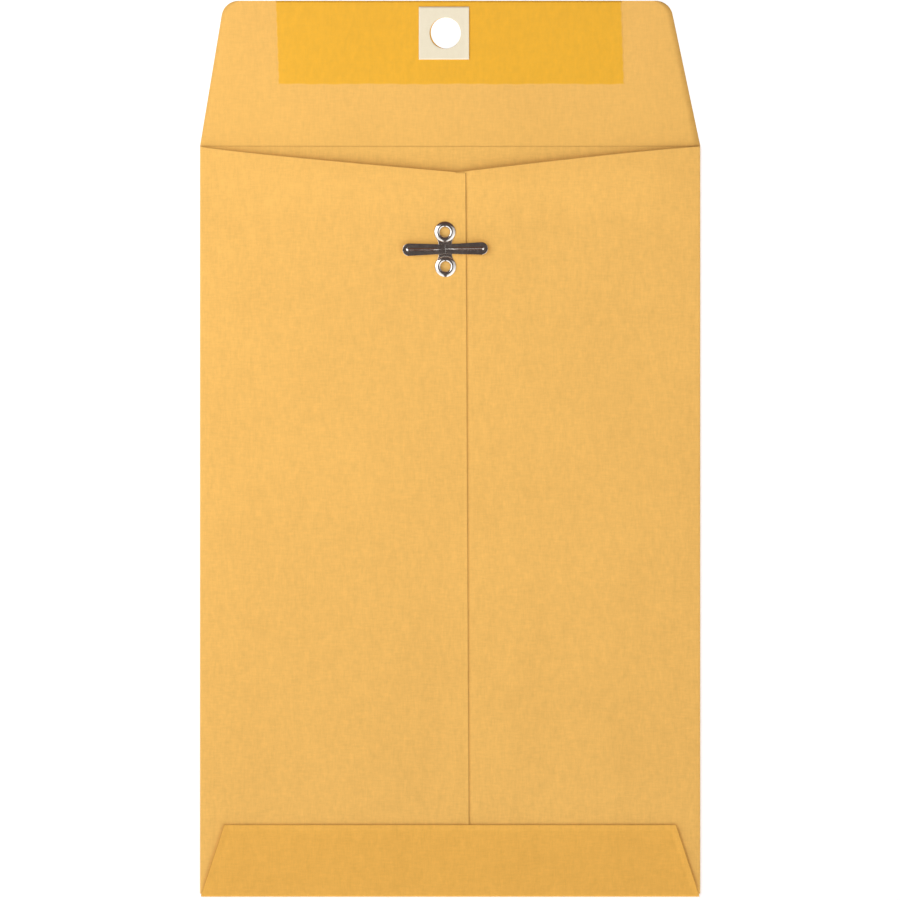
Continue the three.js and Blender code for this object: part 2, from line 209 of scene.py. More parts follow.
# A painted highlight along each rib's crest: its width, where it ends, and its strength on each prong
HIGHLIGHT_WIDTH = 0.07
HIGHLIGHT_END_X = 11.5
RIB_PAINTED_HIGHLIGHT = {"left_prong": 0.35, "right_prong": 0.8}
WEB_ENTRY = 0.5

# The stage, in metres, but the floor in millimetres. Each softbox has a name, a place and a width.
SOFTBOXES = (
    ("left_softbox", (-0.3, 0.16, 0.35), 0.3),
    ("right_softbox", (0.35, 0.05, 0.38), 0.5),
)
SOFTBOX_HEIGHT = 0.5
CAMERA_X = -0.00004
CAMERA_Y = 0.0218
CAMERA_LENS = 200
SENSOR_WIDTH = 36
FLOOR_REACH = 4000.0
FLOOR_LEVEL = -0.02

# The room by direction: X to the right, Y to the back, Z up. A pair is where a smooth step starts and ends.
ROOM_TURN = (0.4, -0.9)
ROOM_BEHIND = 0.4
ROOM_IN_FRONT = 4.2
SLOT_HALF_IN_FRONT = 0.08
SLOT_WIDENING = 0.06
SLOT_WIDENING_Y = (-0.6, 0.0)
SLOT_OPENING = 1.2
SLOT_EDGE = (0.0, 0.06)
SLOT_FOOT = (0.02, 0.12)
SLOT_ASIDE = (0.3, 0.8)
SLOT_OVERHEAD_TINT = (1.0, 0.8, 0.74)
SLOT_ASIDE_TINT = (1.5, 0.75, 0.5)

# How finely each form is drawn
FOLD_STEPS = 14
EYELET_TURNS = 96
SECTION_POINTS = 96


def smooth(value, start, end):
    """0 before start, 1 after end, and a smooth step between them."""
    share = np.clip((value - start) / (end - start), 0, 1)
    return share * share * (3 - 2 * share)


def lines(start, *spans):
    """Positions from start through each (end, steps) in turn."""
    parts = [np.array([float(start)])]
    for end, steps in spans:
        parts.append(np.linspace(parts[-1][-1], end, steps + 1)[1:])
    return np.concatenate(parts)


# Meshes

def new_piece(name, points, faces, materials, kinds=None, flat=None, marks=None):
    """An object at the origin from points in millimetres. Kinds are its faces' material numbers, flat its
    faces that aren't shaded smooth, and marks its named values, one for each point."""
    mesh = bpy.data.meshes.new(name)
    mesh.from_pydata((points * MM).tolist(), [], faces)
    for material in materials:
        mesh.materials.append(material)
    if kinds is not None:
        mesh.polygons.foreach_set("material_index", np.asarray(kinds, np.int32))
    shaded = np.ones(len(faces), bool) if flat is None else ~np.asarray(flat)
    mesh.polygons.foreach_set("use_smooth", shaded)
    for mark, values in (marks or {}).items():
        attribute = mesh.attributes.new(mark, "FLOAT", "POINT")
        attribute.data.foreach_set("value", values.astype(np.float32))
    mesh.update()
    if mesh.validate():
        raise RuntimeError(f"{name} has faces that Blender had to mend")
    piece = bpy.data.objects.new(name, mesh)
    bpy.context.scene.collection.objects.link(piece)
    return piece


def plan_mesh(across, along, holes=()):
    """A flat mesh of quads on the lines across and along. Each hole (x, y, radius, block) clears the cells in
    its block and fills them with rings, whose points pass straight from the block's border to the circle.
    Gives the points, the quads, and the edge loops with the paper on their left."""
    columns, rows = len(across), len(along)
    points = np.stack(np.meshgrid(across, along, indexing="ij"), -1).reshape(-1, 2)
    index = np.arange(columns * rows).reshape(columns, rows)
    cells = np.stack([index[:-1, :-1], index[1:, :-1], index[1:, 1:], index[:-1, 1:]], -1)
    kept = np.ones(cells.shape[:2], bool)
    rings = []
    loops = [np.concatenate([index[:-1, 0], index[-1, :-1], index[:0:-1, -1], index[0, :0:-1]])]
    for x, y, radius, block in holes:
        left, right = (int(np.argmin(abs(across - edge))) for edge in block[:2])
        low, high = (int(np.argmin(abs(along - edge))) for edge in block[2:])
        kept[left:right, low:high] = False
        sides = [index[left:right, low], index[right, low:high]]
        sides += [index[right:left:-1, high], index[left, high:low:-1]]
        layer = np.concatenate(sides)
        border = points[layer]
        offset = border - (x, y)
        circle = (x, y) + radius * offset / np.linalg.norm(offset, axis=1, keepdims=True)
        for share in (0.6, 0.25, 0.08, 0.0):
            inner = len(points) + np.arange(len(layer))
            points = np.vstack([points, circle + share * (border - circle)])
            rings.append(np.stack([layer, np.roll(layer, -1), np.roll(inner, -1), inner], -1))
            layer = inner
        loops.append(layer[::-1])
    faces = np.vstack([cells[kept], *rings])
    used, faces = np.unique(faces, return_inverse=True)
    place = np.full(len(points), -1)
    place[used] = np.arange(len(used))
    return points[used], faces.reshape(-1, 4), [place[loop] for loop in loops]


def paper_sheet(name, plan, middle, thickness, materials, dent=None, marks=None):
    """A sheet from a flat plan. Middle carries a plan point, s across and t up, to the middle of the sheet in
    space. Its two faces lie half the thickness to either side along the normal, the cross product of the two
    slopes of middle, and a rim along every edge joins them. A dent sinks the upper face."""
    points, faces, loops = plan
    s, t = points.T
    step = 1e-3
    along_s = middle(s + step, t) - middle(s - step, t)
    along_t = middle(s, t + step) - middle(s, t - step)
    normal = np.cross(along_s, along_t)
    normal /= np.linalg.norm(normal, axis=1, keepdims=True)
    centre = middle(s, t)
    half = (thickness(s, t) if callable(thickness) else np.full(len(s), thickness)) / 2
    sunk = half - (dent(s, t) if dent else 0)
    body = np.vstack([centre + normal * sunk[:, None], centre - normal * half[:, None]])
    count = len(points)
    rims = [
        np.stack([loop, loop + count, np.roll(loop, -1) + count, np.roll(loop, -1)], -1)
        for loop in loops
    ]
    rim = np.vstack(rims)
    quads = np.vstack([faces, faces[:, ::-1] + count, rim])
    is_rim = np.arange(len(quads)) >= 2 * len(faces)
    both = {mark: np.tile(value(s, t), 2) for mark, value in (marks or {}).items()}
    return new_piece(name, body, quads.tolist(), materials, is_rim.astype(int), is_rim, both)


def loft(rings, closed=False):
    """Faces round a row of closed rings, with a cap at each end unless the row closes on itself."""
    index = np.arange(rings.shape[0] * rings.shape[1]).reshape(rings.shape[:2])
    first, last = (index, np.roll(index, -1, 0)) if closed else (index[:-1], index[1:])
    sides = [first, np.roll(first, -1, 1), np.roll(last, -1, 1), last]
    faces = np.stack(sides, -1).reshape(-1, 4).tolist()
    return faces if closed else faces + [index[0, ::-1].tolist(), index[-1].tolist()]


def join(parts):
    """One list of points and one of faces from several (rings, faces)."""
    points, faces = [], []
    for rings, these in parts:
        start = sum(len(some) for some in points)
        points.append(rings.reshape(-1, 3))
        faces.extend([[start + corner for corner in face] for face in these])
    return np.vstack(points), faces


def arc(centre, radius, start, end, steps):
    """Points of an arc in a plane, from angle to angle in degrees."""
    angle = np.radians(np.linspace(start, end, steps + 1))
    return np.stack([centre[0] + radius * np.cos(angle), centre[1] + radius * np.sin(angle)], -1)


# Materials

def add_node(tree, kind, values=None, **settings):
    """A node with its settings by name, and its inputs as values or as the outputs that feed them."""
    made = tree.nodes.new(kind)
    for name, value in settings.items():
        setattr(made, name, value)
    for socket, value in (values or {}).items():
        if isinstance(value, bpy.types.NodeSocket):
            tree.links.new(value, made.inputs[socket])
        else:
            made.inputs[socket].default_value = value
    return made


def sums(tree, operation, first, second=0.0, third=0.0):
    """The output of a Math node."""
    made = add_node(tree, "ShaderNodeMath", {0: first, 1: second, 2: third}, operation=operation)
    return made.outputs[0]


def noise(tree, vector, scale, detail=2.0, roughness=0.5):
    """The output of a Noise Texture, about 0.5, whose blotches measure about 1 / scale metres."""
    values = {"Vector": vector, "Scale": scale, "Detail": detail, "Roughness": roughness}
    return add_node(tree, "ShaderNodeTexNoise", values).outputs["Fac"]


def stretched(tree, vector, scale, turn=0.0):
    """Coordinates stretched by axis, and turned about Z first."""
    values = {"Vector": vector, "Scale": scale, "Rotation": (0, 0, turn)}
    return add_node(tree, "ShaderNodeMapping", values).outputs["Vector"]


def mixed(tree, share, first, second):
    """A colour between two."""
    made = add_node(tree, "ShaderNodeMix", data_type="RGBA")
    for socket, value in (("Factor", share), ("A", first), ("B", second)):
        kind = "NodeSocketFloatFactor" if socket == "Factor" else "NodeSocketColor"
        found = [i for i in made.inputs if i.name == socket and i.bl_idname == kind][0]
        if isinstance(value, bpy.types.NodeSocket):
            tree.links.new(value, found)
        else:
            found.default_value = value
    return [out for out in made.outputs if out.bl_idname == "NodeSocketColor"][0]


def new_group(name, inputs, outputs):
    """An empty shader node group with its sockets, its input node and its output node."""
    tree = bpy.data.node_groups.new(name, "ShaderNodeTree")
    for label, kind in inputs:
        tree.interface.new_socket(label, in_out="INPUT", socket_type=kind)
    for label, kind in outputs:
        tree.interface.new_socket(label, in_out="OUTPUT", socket_type=kind)
    return tree, tree.nodes.new("NodeGroupInput").outputs, tree.nodes.new("NodeGroupOutput").inputs


def paper_tone_group():
    """Paper fibres: clouds, mottle, streaks down the sheet and short fibres, added up to a share that picks a
    tone between a dark and a light one. A painted shade mark darkens it. A rub mark pales it: on kraft that
    is wear on the folds and painted light in the eyelets' bores."""
    known = bpy.data.node_groups.get("paper_tone")
    if known:
        return known
    colour, value = "NodeSocketColor", "NodeSocketFloat"
    inputs = [("Light", colour), ("Dark", colour), ("Rubbed", colour)]
    inputs += [(label, value) for label in ("Mottle", "Fibres", "Crease", "Rub")]
    outputs = [("Colour", colour), ("Roughness", value), ("Height", value)]
    tree, given, out = new_group("paper_tone", inputs, outputs)
    place = add_node(tree, "ShaderNodeTexCoord").outputs["Object"]
    clouds = noise(tree, place, scale=30, detail=1.5)
    mottle = noise(tree, stretched(tree, place, (1, 0.5, 1)), scale=520, detail=3, roughness=0.65)
    streaks = noise(tree, stretched(tree, place, (1, 0.06, 1)), scale=90)
    lengthwise = stretched(tree, place, (1, 0.16, 1), turn=0.2)
    fibres = noise(tree, lengthwise, scale=2300, roughness=0.6)
    crosswise = stretched(tree, place, (0.2, 1, 1), turn=0.5)
    crossed = noise(tree, crosswise, scale=2000, roughness=0.6)
    share = 0.5
    for source, weight in ((clouds, 0.4), (mottle, given["Mottle"]), (streaks, 0.25)):
        share = sums(tree, "ADD", share, sums(tree, "MULTIPLY", sums(tree, "SUBTRACT", source, 0.5), weight))
    both = sums(tree, "MULTIPLY", sums(tree, "ADD", fibres, crossed), 0.5)
    fleck = sums(tree, "MULTIPLY", sums(tree, "SUBTRACT", both, 0.5), given["Fibres"])
    total = add_node(tree, "ShaderNodeMath", {0: share, 1: fleck}, operation="ADD", use_clamp=True)
    tone = mixed(tree, total.outputs[0], given["Dark"], given["Light"])
    tone = mixed(tree, given["Rub"], tone, given["Rubbed"])
    tone = mixed(tree, given["Crease"], tone, PAINTED_SHADE_COLOUR)
    tree.links.new(tone, out["Colour"])
    tree.links.new(sums(tree, "MULTIPLY_ADD", both, 0.25, 0.68), out["Roughness"])
    tree.links.new(sums(tree, "MULTIPLY_ADD", mottle, 0.6, both), out["Height"])
    return tree


def tinplate_tone_group():
    """Rolled tinplate: fine lines along the strip and soft smudges. A painted highlight pales the metal
    along a rib's crest and makes it rougher."""
    known = bpy.data.node_groups.get("tinplate_tone")
    if known:
        return known
    colour, value = "NodeSocketColor", "NodeSocketFloat"
    inputs = [("Bright", colour), ("Smudged", colour), ("Painted highlight", value)]
    outputs = [("Colour", colour), ("Roughness", value), ("Height", value)]
    tree, given, out = new_group("tinplate_tone", inputs, outputs)
    place = add_node(tree, "ShaderNodeTexCoord").outputs["Object"]
    smudges = noise(tree, place, scale=900, detail=3, roughness=0.6)
    rolling = noise(tree, stretched(tree, place, (0.05, 1, 1)), scale=9000)
    share = sums(tree, "MULTIPLY_ADD", smudges, 1.4, -0.2)
    share = sums(tree, "MULTIPLY_ADD", sums(tree, "SUBTRACT", rolling, 0.5), 0.5, share)
    share = add_node(tree, "ShaderNodeMath", {0: share, 1: given["Painted highlight"]}, operation="ADD", use_clamp=True)
    tree.links.new(mixed(tree, share.outputs[0], given["Smudged"], given["Bright"]), out["Colour"])
    rough = sums(tree, "MULTIPLY_ADD", smudges, 0.14, 0.06)
    tree.links.new(sums(tree, "MULTIPLY_ADD", given["Painted highlight"], 0.25, rough), out["Roughness"])
    tree.links.new(rolling, out["Height"])
    return tree


def toned_material(name, group, values, marks, bump, **shader):
    """A material whose colour, roughness and fine relief come from a tone group. Marks are the group's inputs
    that follow a value on the mesh, bump is the relief's strength and its depth in metres, and the other
    settings stand on the shader's own sockets."""
    known = bpy.data.materials.get(name)
    if known:
        return known
    material = bpy.data.materials.new(name)
    material.use_nodes = True
    tree = material.node_tree
    surface = next(n for n in tree.nodes if n.type == "BSDF_PRINCIPLED")
    tone = add_node(tree, "ShaderNodeGroup", node_tree=group)
    for socket, value in values.items():
        tone.inputs[socket].default_value = value
    for socket, mark in marks.items():
        found = add_node(tree, "ShaderNodeAttribute", attribute_name=mark, attribute_type="GEOMETRY")
        tree.links.new(found.outputs["Fac"], tone.inputs[socket])
    tree.links.new(tone.outputs["Colour"], surface.inputs["Base Color"])
    tree.links.new(tone.outputs["Roughness"], surface.inputs["Roughness"])
    values = {"Height": tone.outputs["Height"], "Strength": bump[0], "Distance": bump[1]}
    relief = add_node(tree, "ShaderNodeBump", values)
    tree.links.new(relief.outputs["Normal"], surface.inputs["Normal"])
    for socket, value in shader.items():
        surface.inputs[socket.replace("_", " ")].default_value = value
    return material


def shade(colour, factor):
    """A colour made lighter or darker, with its alpha."""
    return tuple(min(1.0, part * factor) for part in colour) + (1.0,)


def tinted(colour, tint):
    """A colour with each part times the tint's."""
    return tuple(part * factor for part, factor in zip(colour, tint))


def kraft(colour=None, name="brown_kraft", grain=1.0):
    """Uncoated kraft. Its dark tone is a little redder than its light one. Grain is the strength of its fine
    mottle and fibres."""
    paper = bpy.context.scene.clasp_envelope.paper
    colour = tuple(colour or paper.colour)
    values = {
        "Light": shade(colour, 1 + paper.mottle),
        "Dark": shade(tinted(colour, KRAFT_DARK_TINT), 1 - paper.mottle),
        "Rubbed": shade(tinted(colour, KRAFT_RUBBED_TINT), 1),
        "Mottle": grain,
        "Fibres": KRAFT_FIBRES * grain,
    }
    # One mark paints shade along cut edges and score lines. The rub mark pales the kraft: wear on the folds,
    # and painted light in the eyelets' bores.
    marks = {"Crease": "painted_shade", "Rub": "rub"}
    return toned_material(name, paper_tone_group(), values, marks, (0.35, 0.00004), Specular_IOR_Level=0.25)


def kraft_cut():
    """The cut edge of kraft, where the paler inside of the sheet shows."""
    return kraft(tuple(bpy.context.scene.clasp_envelope.paper.cut_colour), "brown_kraft_edge")


def gum_film():
    """Dried gum: yellower than kraft, under a soft gloss, and passing into the kraft's tone where it
    feathers out."""
    gum = bpy.context.scene.clasp_envelope.gum
    colour = tuple(gum.colour)
    kraft_colour = tuple(bpy.context.scene.clasp_envelope.paper.colour)
    values = {
        "Light": shade(colour, 1.06),
        "Dark": shade(colour, 0.93),
        "Rubbed": shade(kraft_colour, 1),
        "Mottle": 1.5,
        "Fibres": 1.0,
    }
    marks = {"Rub": "feather"}
    settings = {"Specular_IOR_Level": 0.4, "Coat_Weight": 0.25, "Coat_Roughness": 0.35}
    return toned_material("dried_gum", paper_tone_group(), values, marks, (0.2, 0.00003), **settings)


def patch_paper(name="cream_paper", factor=1.0):
    """Smooth cream paper."""
    colour = tuple(bpy.context.scene.clasp_envelope.patch.colour)
    values = {
        "Light": shade(colour, 1.03 * factor),
        "Dark": shade(tinted(colour, PATCH_DARK_TINT), 0.96 * factor),
        "Rubbed": shade(colour, 1.05 * factor),
        "Mottle": 1.1,
        "Fibres": 1.0,
    }
    return toned_material(name, paper_tone_group(), values, {}, (0.2, 0.00003), Specular_IOR_Level=0.3)


def dry_glue():
    """Dried white glue."""
    values = {
        "Light": GLUE_LIGHT,
        "Dark": GLUE_DARK,
        "Rubbed": GLUE_LIGHT,
        "Mottle": 1.5,
        "Fibres": 0.3,
    }
    group = paper_tone_group()
    return toned_material("white_glue", group, values, {}, (0.3, 0.00005), Specular_IOR_Level=0.5)


def tinplate():
    """Bright tinplate."""
    colour = tuple(bpy.context.scene.clasp_envelope.clasp.colour)
    values = {"Bright": shade(colour, 1.08), "Smudged": shade(colour, 0.86)}
    group = tinplate_tone_group()
    # A mark on each prong paints a highlight along its rib's crest.
    return toned_material("tinplate", group, values, {"Painted highlight": "painted_highlight"}, (0.06, 0.00001), Metallic=1.0)


# The forms of the paper

def seam_edge(y):
    """Where the seam runs: it drifts steadily to the right on its way down."""
    return SEAM_X + SEAM_LEAN * (LIP_Y - y) / (LIP_Y - PANEL_BOTTOM)


def swell(x, y):
    """How far the back of the envelope stands above its flat level. Each back panel is a low pillow: the
    square of a sine from its side fold to the seam, with a slow wave, rising from the bottom fold, and dying
    away below the throat and round the clasp, which pins the sheets down. Towards the throat the two panels
    rise together, less so near the side folds."""
    paper = bpy.context.scene.clasp_envelope.paper
    on_left = (x + SIDE_FOLD_X) / (SEAM_X + SIDE_FOLD_X)
    on_right = (SIDE_FOLD_X - x) / (SIDE_FOLD_X - SEAM_X)
    side = np.clip(np.where(x < SEAM_X, on_left, on_right), 0, 1)
    pillow = paper.pillow / MM * np.sin(np.pi * side) ** 2
    wave = 1 - PILLOW_WAVE + PILLOW_WAVE * np.sin(y / 31 + x / 60)
    pillow = pillow * smooth(y, BOTTOM_FOLD_Y, BOTTOM_FOLD_Y + PILLOW_FOOT) * wave
    away = np.hypot((x - CLASP[0]) / 1.3, y - CLASP[1])
    pillow = pillow * smooth(away, *PINNED_ROUND_CLASP) * (1 - smooth(y, *PILLOW_TOP))
    towards_throat = smooth(y, THROAT_RISE_Y, LIP_Y + 2)
    rise = paper.throat_rise / MM * towards_throat * np.clip(1 - (x / SIDE_FOLD_X) ** 4, 0, 1)
    return pillow + rise


def throat_row(t, top):
    """Lowers the rows above the clasp so that the last one lies on the throat's edge."""
    return t + np.clip((t - ROWS_BEND_Y) / (FOLD_Y - ROWS_BEND_Y), 0, 1) * (top - FOLD_Y)


def left_panel_middle(s, t):
    """Level from the seam to the side fold, then half a turn down round the fold. Its top row follows a power
    of the distance from the fold, and drops by the lip's step beside the seam. The swell raises it, and along
    the seam its edge lifts."""
    turn = np.clip((-SIDE_FOLD_X - s) / (SIDE_FOLD - PAPER / 2), 0, np.pi)
    flat_x = np.maximum(s, -SIDE_FOLD_X)
    share = np.clip((flat_x + HALF_WIDTH) / (LIP_X + HALF_WIDTH), 0, 1)
    step = LIP_STEP * smooth(flat_x, LIP_X - 0.05, LIP_X + 0.05)
    top = FOLD_Y - THROAT_DEPTH * share**THROAT_BEND - step
    top = np.where(turn > 0, FOLD_Y, top)
    y = throat_row(t, top)
    lean = np.clip((flat_x - LIP_X - 0.1) / (SEAM_X - LIP_X - 0.1), 0, 1)
    x = flat_x + lean * (seam_edge(y) - SEAM_X) - (SIDE_FOLD - PAPER / 2) * np.sin(turn)
    lift = bpy.context.scene.clasp_envelope.paper.edge_lift / MM
    loose = lift * smooth(x, seam_edge(y) - SEAM_MARGIN, seam_edge(y))
    level = BACK_MIDDLE + swell(x, y) + loose * (1 - smooth(y, *SEAM_LIFT_TOP))
    z = np.where(turn > 0, SIDE_FOLD + (SIDE_FOLD - PAPER / 2) * np.cos(turn), level)
    return np.stack([x, y, z], -1)


def right_panel_middle(s, t):
    """The same from the right side fold, but its edge beside the seam sinks along a smooth step and runs on
    under the left panel."""
    turn = np.clip((s - SIDE_FOLD_X) / (SIDE_FOLD - PAPER / 2), 0, np.pi)
    flat_x = np.minimum(s, SIDE_FOLD_X)
    share = (HALF_WIDTH - flat_x) / (HALF_WIDTH - SEAM_X)
    top = FOLD_Y - RIGHT_THROAT_DEPTH * share**RIGHT_THROAT_BEND
    y = throat_row(t, np.where(turn > 0, FOLD_Y, top))
    x = flat_x + (SIDE_FOLD - PAPER / 2) * np.sin(turn)
    foot = seam_edge(y) + RAMP_CLEARANCE
    level = BACK_MIDDLE + swell(x, y) - TAB_DROP * (1 - smooth(x, foot, foot + TAB_RAMP))
    z = np.where(turn > 0, SIDE_FOLD + (SIDE_FOLD - PAPER / 2) * np.cos(turn), level)
    return np.stack([x, y, z], -1)


def painted_edge_shade(inside):
    """Painted shade along a cut edge: a bell curve of the distance inside the edge."""
    return EDGE_PAINTED_SHADE * np.exp(-((inside / EDGE_WIDTH) ** 2))


def left_painted_edge_shade(s, t):
    """Painted shade along the cut edges that show on the left panel: along the throat, and at the seam, whose
    painted shade is deepest near the throat."""
    at_seam = painted_edge_shade(SEAM_X - s) * (1 + SEAM_PAINTED_SHADE * smooth(t, *SEAM_PAINTED_SHADE_Y))
    return np.maximum(at_seam, painted_edge_shade(FOLD_Y - t))


def right_painted_edge_shade(s, t):
    """Painted shade along the cut edge that shows on the right panel, along the throat."""
    return painted_edge_shade(FOLD_Y - t)


def side_fold_mark(s, t):
    """The rub on the crest of a side fold, which fades over half a millimetre."""
    crest = SIDE_FOLD_X + (SIDE_FOLD - PAPER / 2) * np.pi / 2
    return FOLD_RUB * np.exp(-(((abs(s) - crest) / FOLD_RUB_WIDTH) ** 2))


def bottom_half_width(y):
    """Half the bottom flap's width: full at its fold, then narrowing steadily to its top edge."""
    share = np.clip((y - BOTTOM_FOLD_Y) / (BOTTOM_FLAP_Y - BOTTOM_FOLD_Y), 0, 1)
    return BOTTOM_HIGH[0] - (BOTTOM_HIGH[0] - (HALF_WIDTH - BOTTOM_TAPER)) * share


def bottom_flap_middle(s, t):
    """Half a turn up round the bottom fold, then level over the back panels, with loose edges that lift."""
    radius = BOTTOM_FOLD - PAPER / 2
    turn = np.clip((BOTTOM_FOLD_Y - t) / radius, 0, np.pi)
    flat_y = np.maximum(t, BOTTOM_FOLD_Y)
    x = s * bottom_half_width(flat_y)
    y = flat_y - radius * np.sin(turn)
    at_top = 1 - smooth(BOTTOM_FLAP_Y - flat_y, 0, FLAP_TOP_MARGIN)
    at_side = 1 - smooth(bottom_half_width(flat_y) - abs(x), 0, FLAP_SIDE_MARGIN)
    lift = bpy.context.scene.clasp_envelope.paper.edge_lift / MM
    loose = lift * np.maximum(FLAP_TOP_LIFTS * at_top, FLAP_SIDE_LIFTS * at_side)
    loose = loose * smooth(flat_y, BOTTOM_FOLD_Y, BOTTOM_FOLD_Y + 4)
    level = BOTTOM_HIGH[2] - PAPER / 2 + swell(x, y) + loose
    return np.stack([x, y, np.where(turn > 0, BOTTOM_FOLD + radius * np.cos(turn), level)], -1)


def flap_edge(y, side):
    """The closure flap's side edge: a straight slant that ends in a round corner at the top."""
    taper = FLAP_TAPER_LEFT if side < 0 else FLAP_TAPER_RIGHT
    run, climb = taper, FLAP_TOP_Y - FLAP_LOW[1]
    length = np.hypot(run, climb)
    slant = HALF_WIDTH - run * np.clip((y - FLAP_LOW[1]) / climb, 0, 1)
    centre_y = FLAP_TOP_Y - FLAP_CORNER
    centre_x = HALF_WIDTH - (FLAP_CORNER + (centre_y - FLAP_LOW[1]) * run / length) * length / climb
    tangent_y = centre_y + FLAP_CORNER * run / length
    rounded = centre_x + np.sqrt(np.clip(FLAP_CORNER**2 - (y - centre_y) ** 2, 0, None))
    return side * np.where(y > tangent_y, rounded, slant)


def closure_flap_middle(s, t):
    """Flat on the table, its columns spread from the block round the hole to the two side edges."""
    left, right = HOLE_BLOCK[:2]
    on_left = left + (s - left) * (flap_edge(t, -1) - left) / (-HALF_WIDTH - left)
    on_right = right + (s - right) * (flap_edge(t, 1) - right) / (HALF_WIDTH - right)
    x = np.where(s < left, on_left, np.where(s > right, on_right, s))
    return np.stack([x, t, np.full(len(t), PAPER / 2)], -1)


def score_mark(s, t):
    """1 along the pressed score line, fading to both sides."""
    return np.exp(-(((t - FOLD_Y - 0.1) / SCORE_WIDTH) ** 2))


def gum_inside(s, t):
    """How far a point of the gum strip lies inside its three free edges."""
    return np.minimum(np.minimum(s - GUM_LOW[0], GUM_HIGH[0] - GUM_LEAN - s), t - GUM_LOW[1])


def waves(s, t, given):
    """The sum of sines whose heights, rates and starts are given."""
    return sum(height * np.sin(s * across + t * up + start) for height, across, up, start in given)


def gum_middle(s, t):
    """A film on the flap, whose ends lean and whose edges waver a little."""
    lean = GUM_LEAN * (FLAP_TOP_Y - t) / (FLAP_TOP_Y - GUM_LOW[1])
    edge = 1 - smooth(gum_inside(s, t), 0, GUM_WAVER_REACH)
    shift = GUM_SHIFT[0] + (GUM_SHIFT[1] - GUM_SHIFT[0]) * smooth(s, *GUM_SHIFT_X)
    x = s + lean + (shift + edge * waves(s, t, GUM_END_WAVES)) * np.where(abs(s) > 12, 1, 0)
    near_foot = 1 - smooth(t, GUM_LOW[1] + GUM_WAVER_REACH, GUM_LOW[1] + 2 * GUM_WAVER_REACH)
    y = t + edge * waves(s, t, GUM_FOOT_WAVES) * near_foot
    return np.stack([x, y, np.full(len(t), PAPER + (GUM_HIGH[2] - PAPER) / 2)], -1)


def gum_thickness(s, t):
    """Full inside, thinning to a quarter along the free edges."""
    share = GUM_THIN_EDGE + (1 - GUM_THIN_EDGE) * smooth(gum_inside(s, t), 0, GUM_THIN_WIDTH)
    return (GUM_HIGH[2] - PAPER) * share


def patch_middle(s, t):
    """Flat on the gum, with a loose right edge."""
    loose = PATCH_LIFT * smooth(s, PATCH_HIGH[0] - PATCH_MARGIN, PATCH_HIGH[0])
    return np.stack([s, t, (PATCH_LOW[2] + PATCH_HIGH[2]) / 2 + loose], -1)


def glue_line_middle(s, t):
    """The glue between the tab and the left panel rises and falls with them."""
    level = BACK_TOP - PAPER - TAB_DROP / 8
    return np.stack([s, t, level + swell(s, t)], -1)


# The forms of the clasp

def on_envelope(points):
    """Points of the clasp's own axes, turned by its tilt and set on the paper."""
    cosine, sine = np.cos(CLASP_TILT), np.sin(CLASP_TILT)
    turned = np.asarray(points) @ np.array([[cosine, sine, 0], [-sine, cosine, 0], [0, 0, 1]])
    return turned + CLASP


def barrel_place(side):
    """The (x, y) of an eyelet's middle: side 1 is the upper eyelet and -1 the lower one."""
    return CLASP[:2] + side * EYELET_Y * np.array([-np.sin(CLASP_TILT), np.cos(CLASP_TILT)])


def barrel_holes():
    """The holes for plan_mesh that the two barrels pass through, the lower one first."""
    holes = []
    for side in (-1, 1):
        row = CLASP[1] + side * EYELET_Y
        block = (CLASP[0] - BARREL_BLOCK, CLASP[0] + BARREL_BLOCK, row - BARREL_BLOCK, row + BARREL_BLOCK)
        holes.append((*barrel_place(side), BARREL_ROOM, block))
    return holes


def strip_section(line, thickness):
    """A closed section along a line of points: one side half the thickness to its left, the other to its
    right, with round ends."""
    tangent = np.gradient(line, axis=0)
    tangent /= np.linalg.norm(tangent, axis=1, keepdims=True)
    left = np.stack([-tangent[:, 1], tangent[:, 0]], -1) * thickness / 2
    angle = np.radians(np.linspace(0, 180, 8)[1:-1])[:, None]
    end_cap = line[-1] + left[-1] * np.cos(angle) + tangent[-1] * thickness / 2 * np.sin(angle)
    start_cap = line[0] - left[0] * np.cos(angle) - tangent[0] * thickness / 2 * np.sin(angle)
    return np.vstack([line + left, end_cap, (line - left)[::-1], start_cap])


def eyelet_rings(side):
    """A strip's section turned once round: a dome that is highest near the bore, the barrel down through the
    paper, and the flange clinched outwards inside the pocket."""
    half = EYELET_METAL / 2
    rim, barrel = EYELET_RADIUS - half, BORE_RADIUS + half
    angle = np.radians(np.linspace(0, 180, 33))
    reach = np.where(np.cos(angle) > 0, rim - CROWN_RADIUS, CROWN_RADIUS - barrel)
    dome_r = CROWN_RADIUS + np.cos(angle) * reach
    dome_z = CLASP_SEAT + np.sin(angle) * (EYELET_RISE - half - CLASP_SEAT)
    dome = np.stack([dome_r, dome_z], -1)
    bend = arc((barrel + CLINCH_BEND, CLINCH_LEVEL + CLINCH_BEND), CLINCH_BEND, 180, 270, 6)
    section = strip_section(np.vstack([dome, bend, [[CLINCH_RADIUS, CLINCH_LEVEL]]]), EYELET_METAL)
    turns = np.linspace(0, 2 * np.pi, EYELET_TURNS, endpoint=False)[:, None]
    x = section[:, 0] * np.cos(turns)
    y = side * EYELET_Y + section[:, 0] * np.sin(turns)
    rings = np.stack([x, y, np.broadcast_to(section[:, 1], x.shape)], -1)
    return rings, loft(rings, closed=True)


def flat_section(half_width, thickness, rounding, points):
    """A flat bar's section as (across, up): two level faces, their edges rounded as a fourth-power curve."""
    angle = np.linspace(0, 2 * np.pi, points, endpoint=False)
    across = half_width * np.cos(angle)
    edge = np.minimum(rounding, half_width)
    past = np.clip((abs(across) - (half_width - edge)) / edge, 0, 1)
    up = thickness / 2 * (1 - past**4) ** 0.25 * np.sign(np.sin(angle))
    return across, up


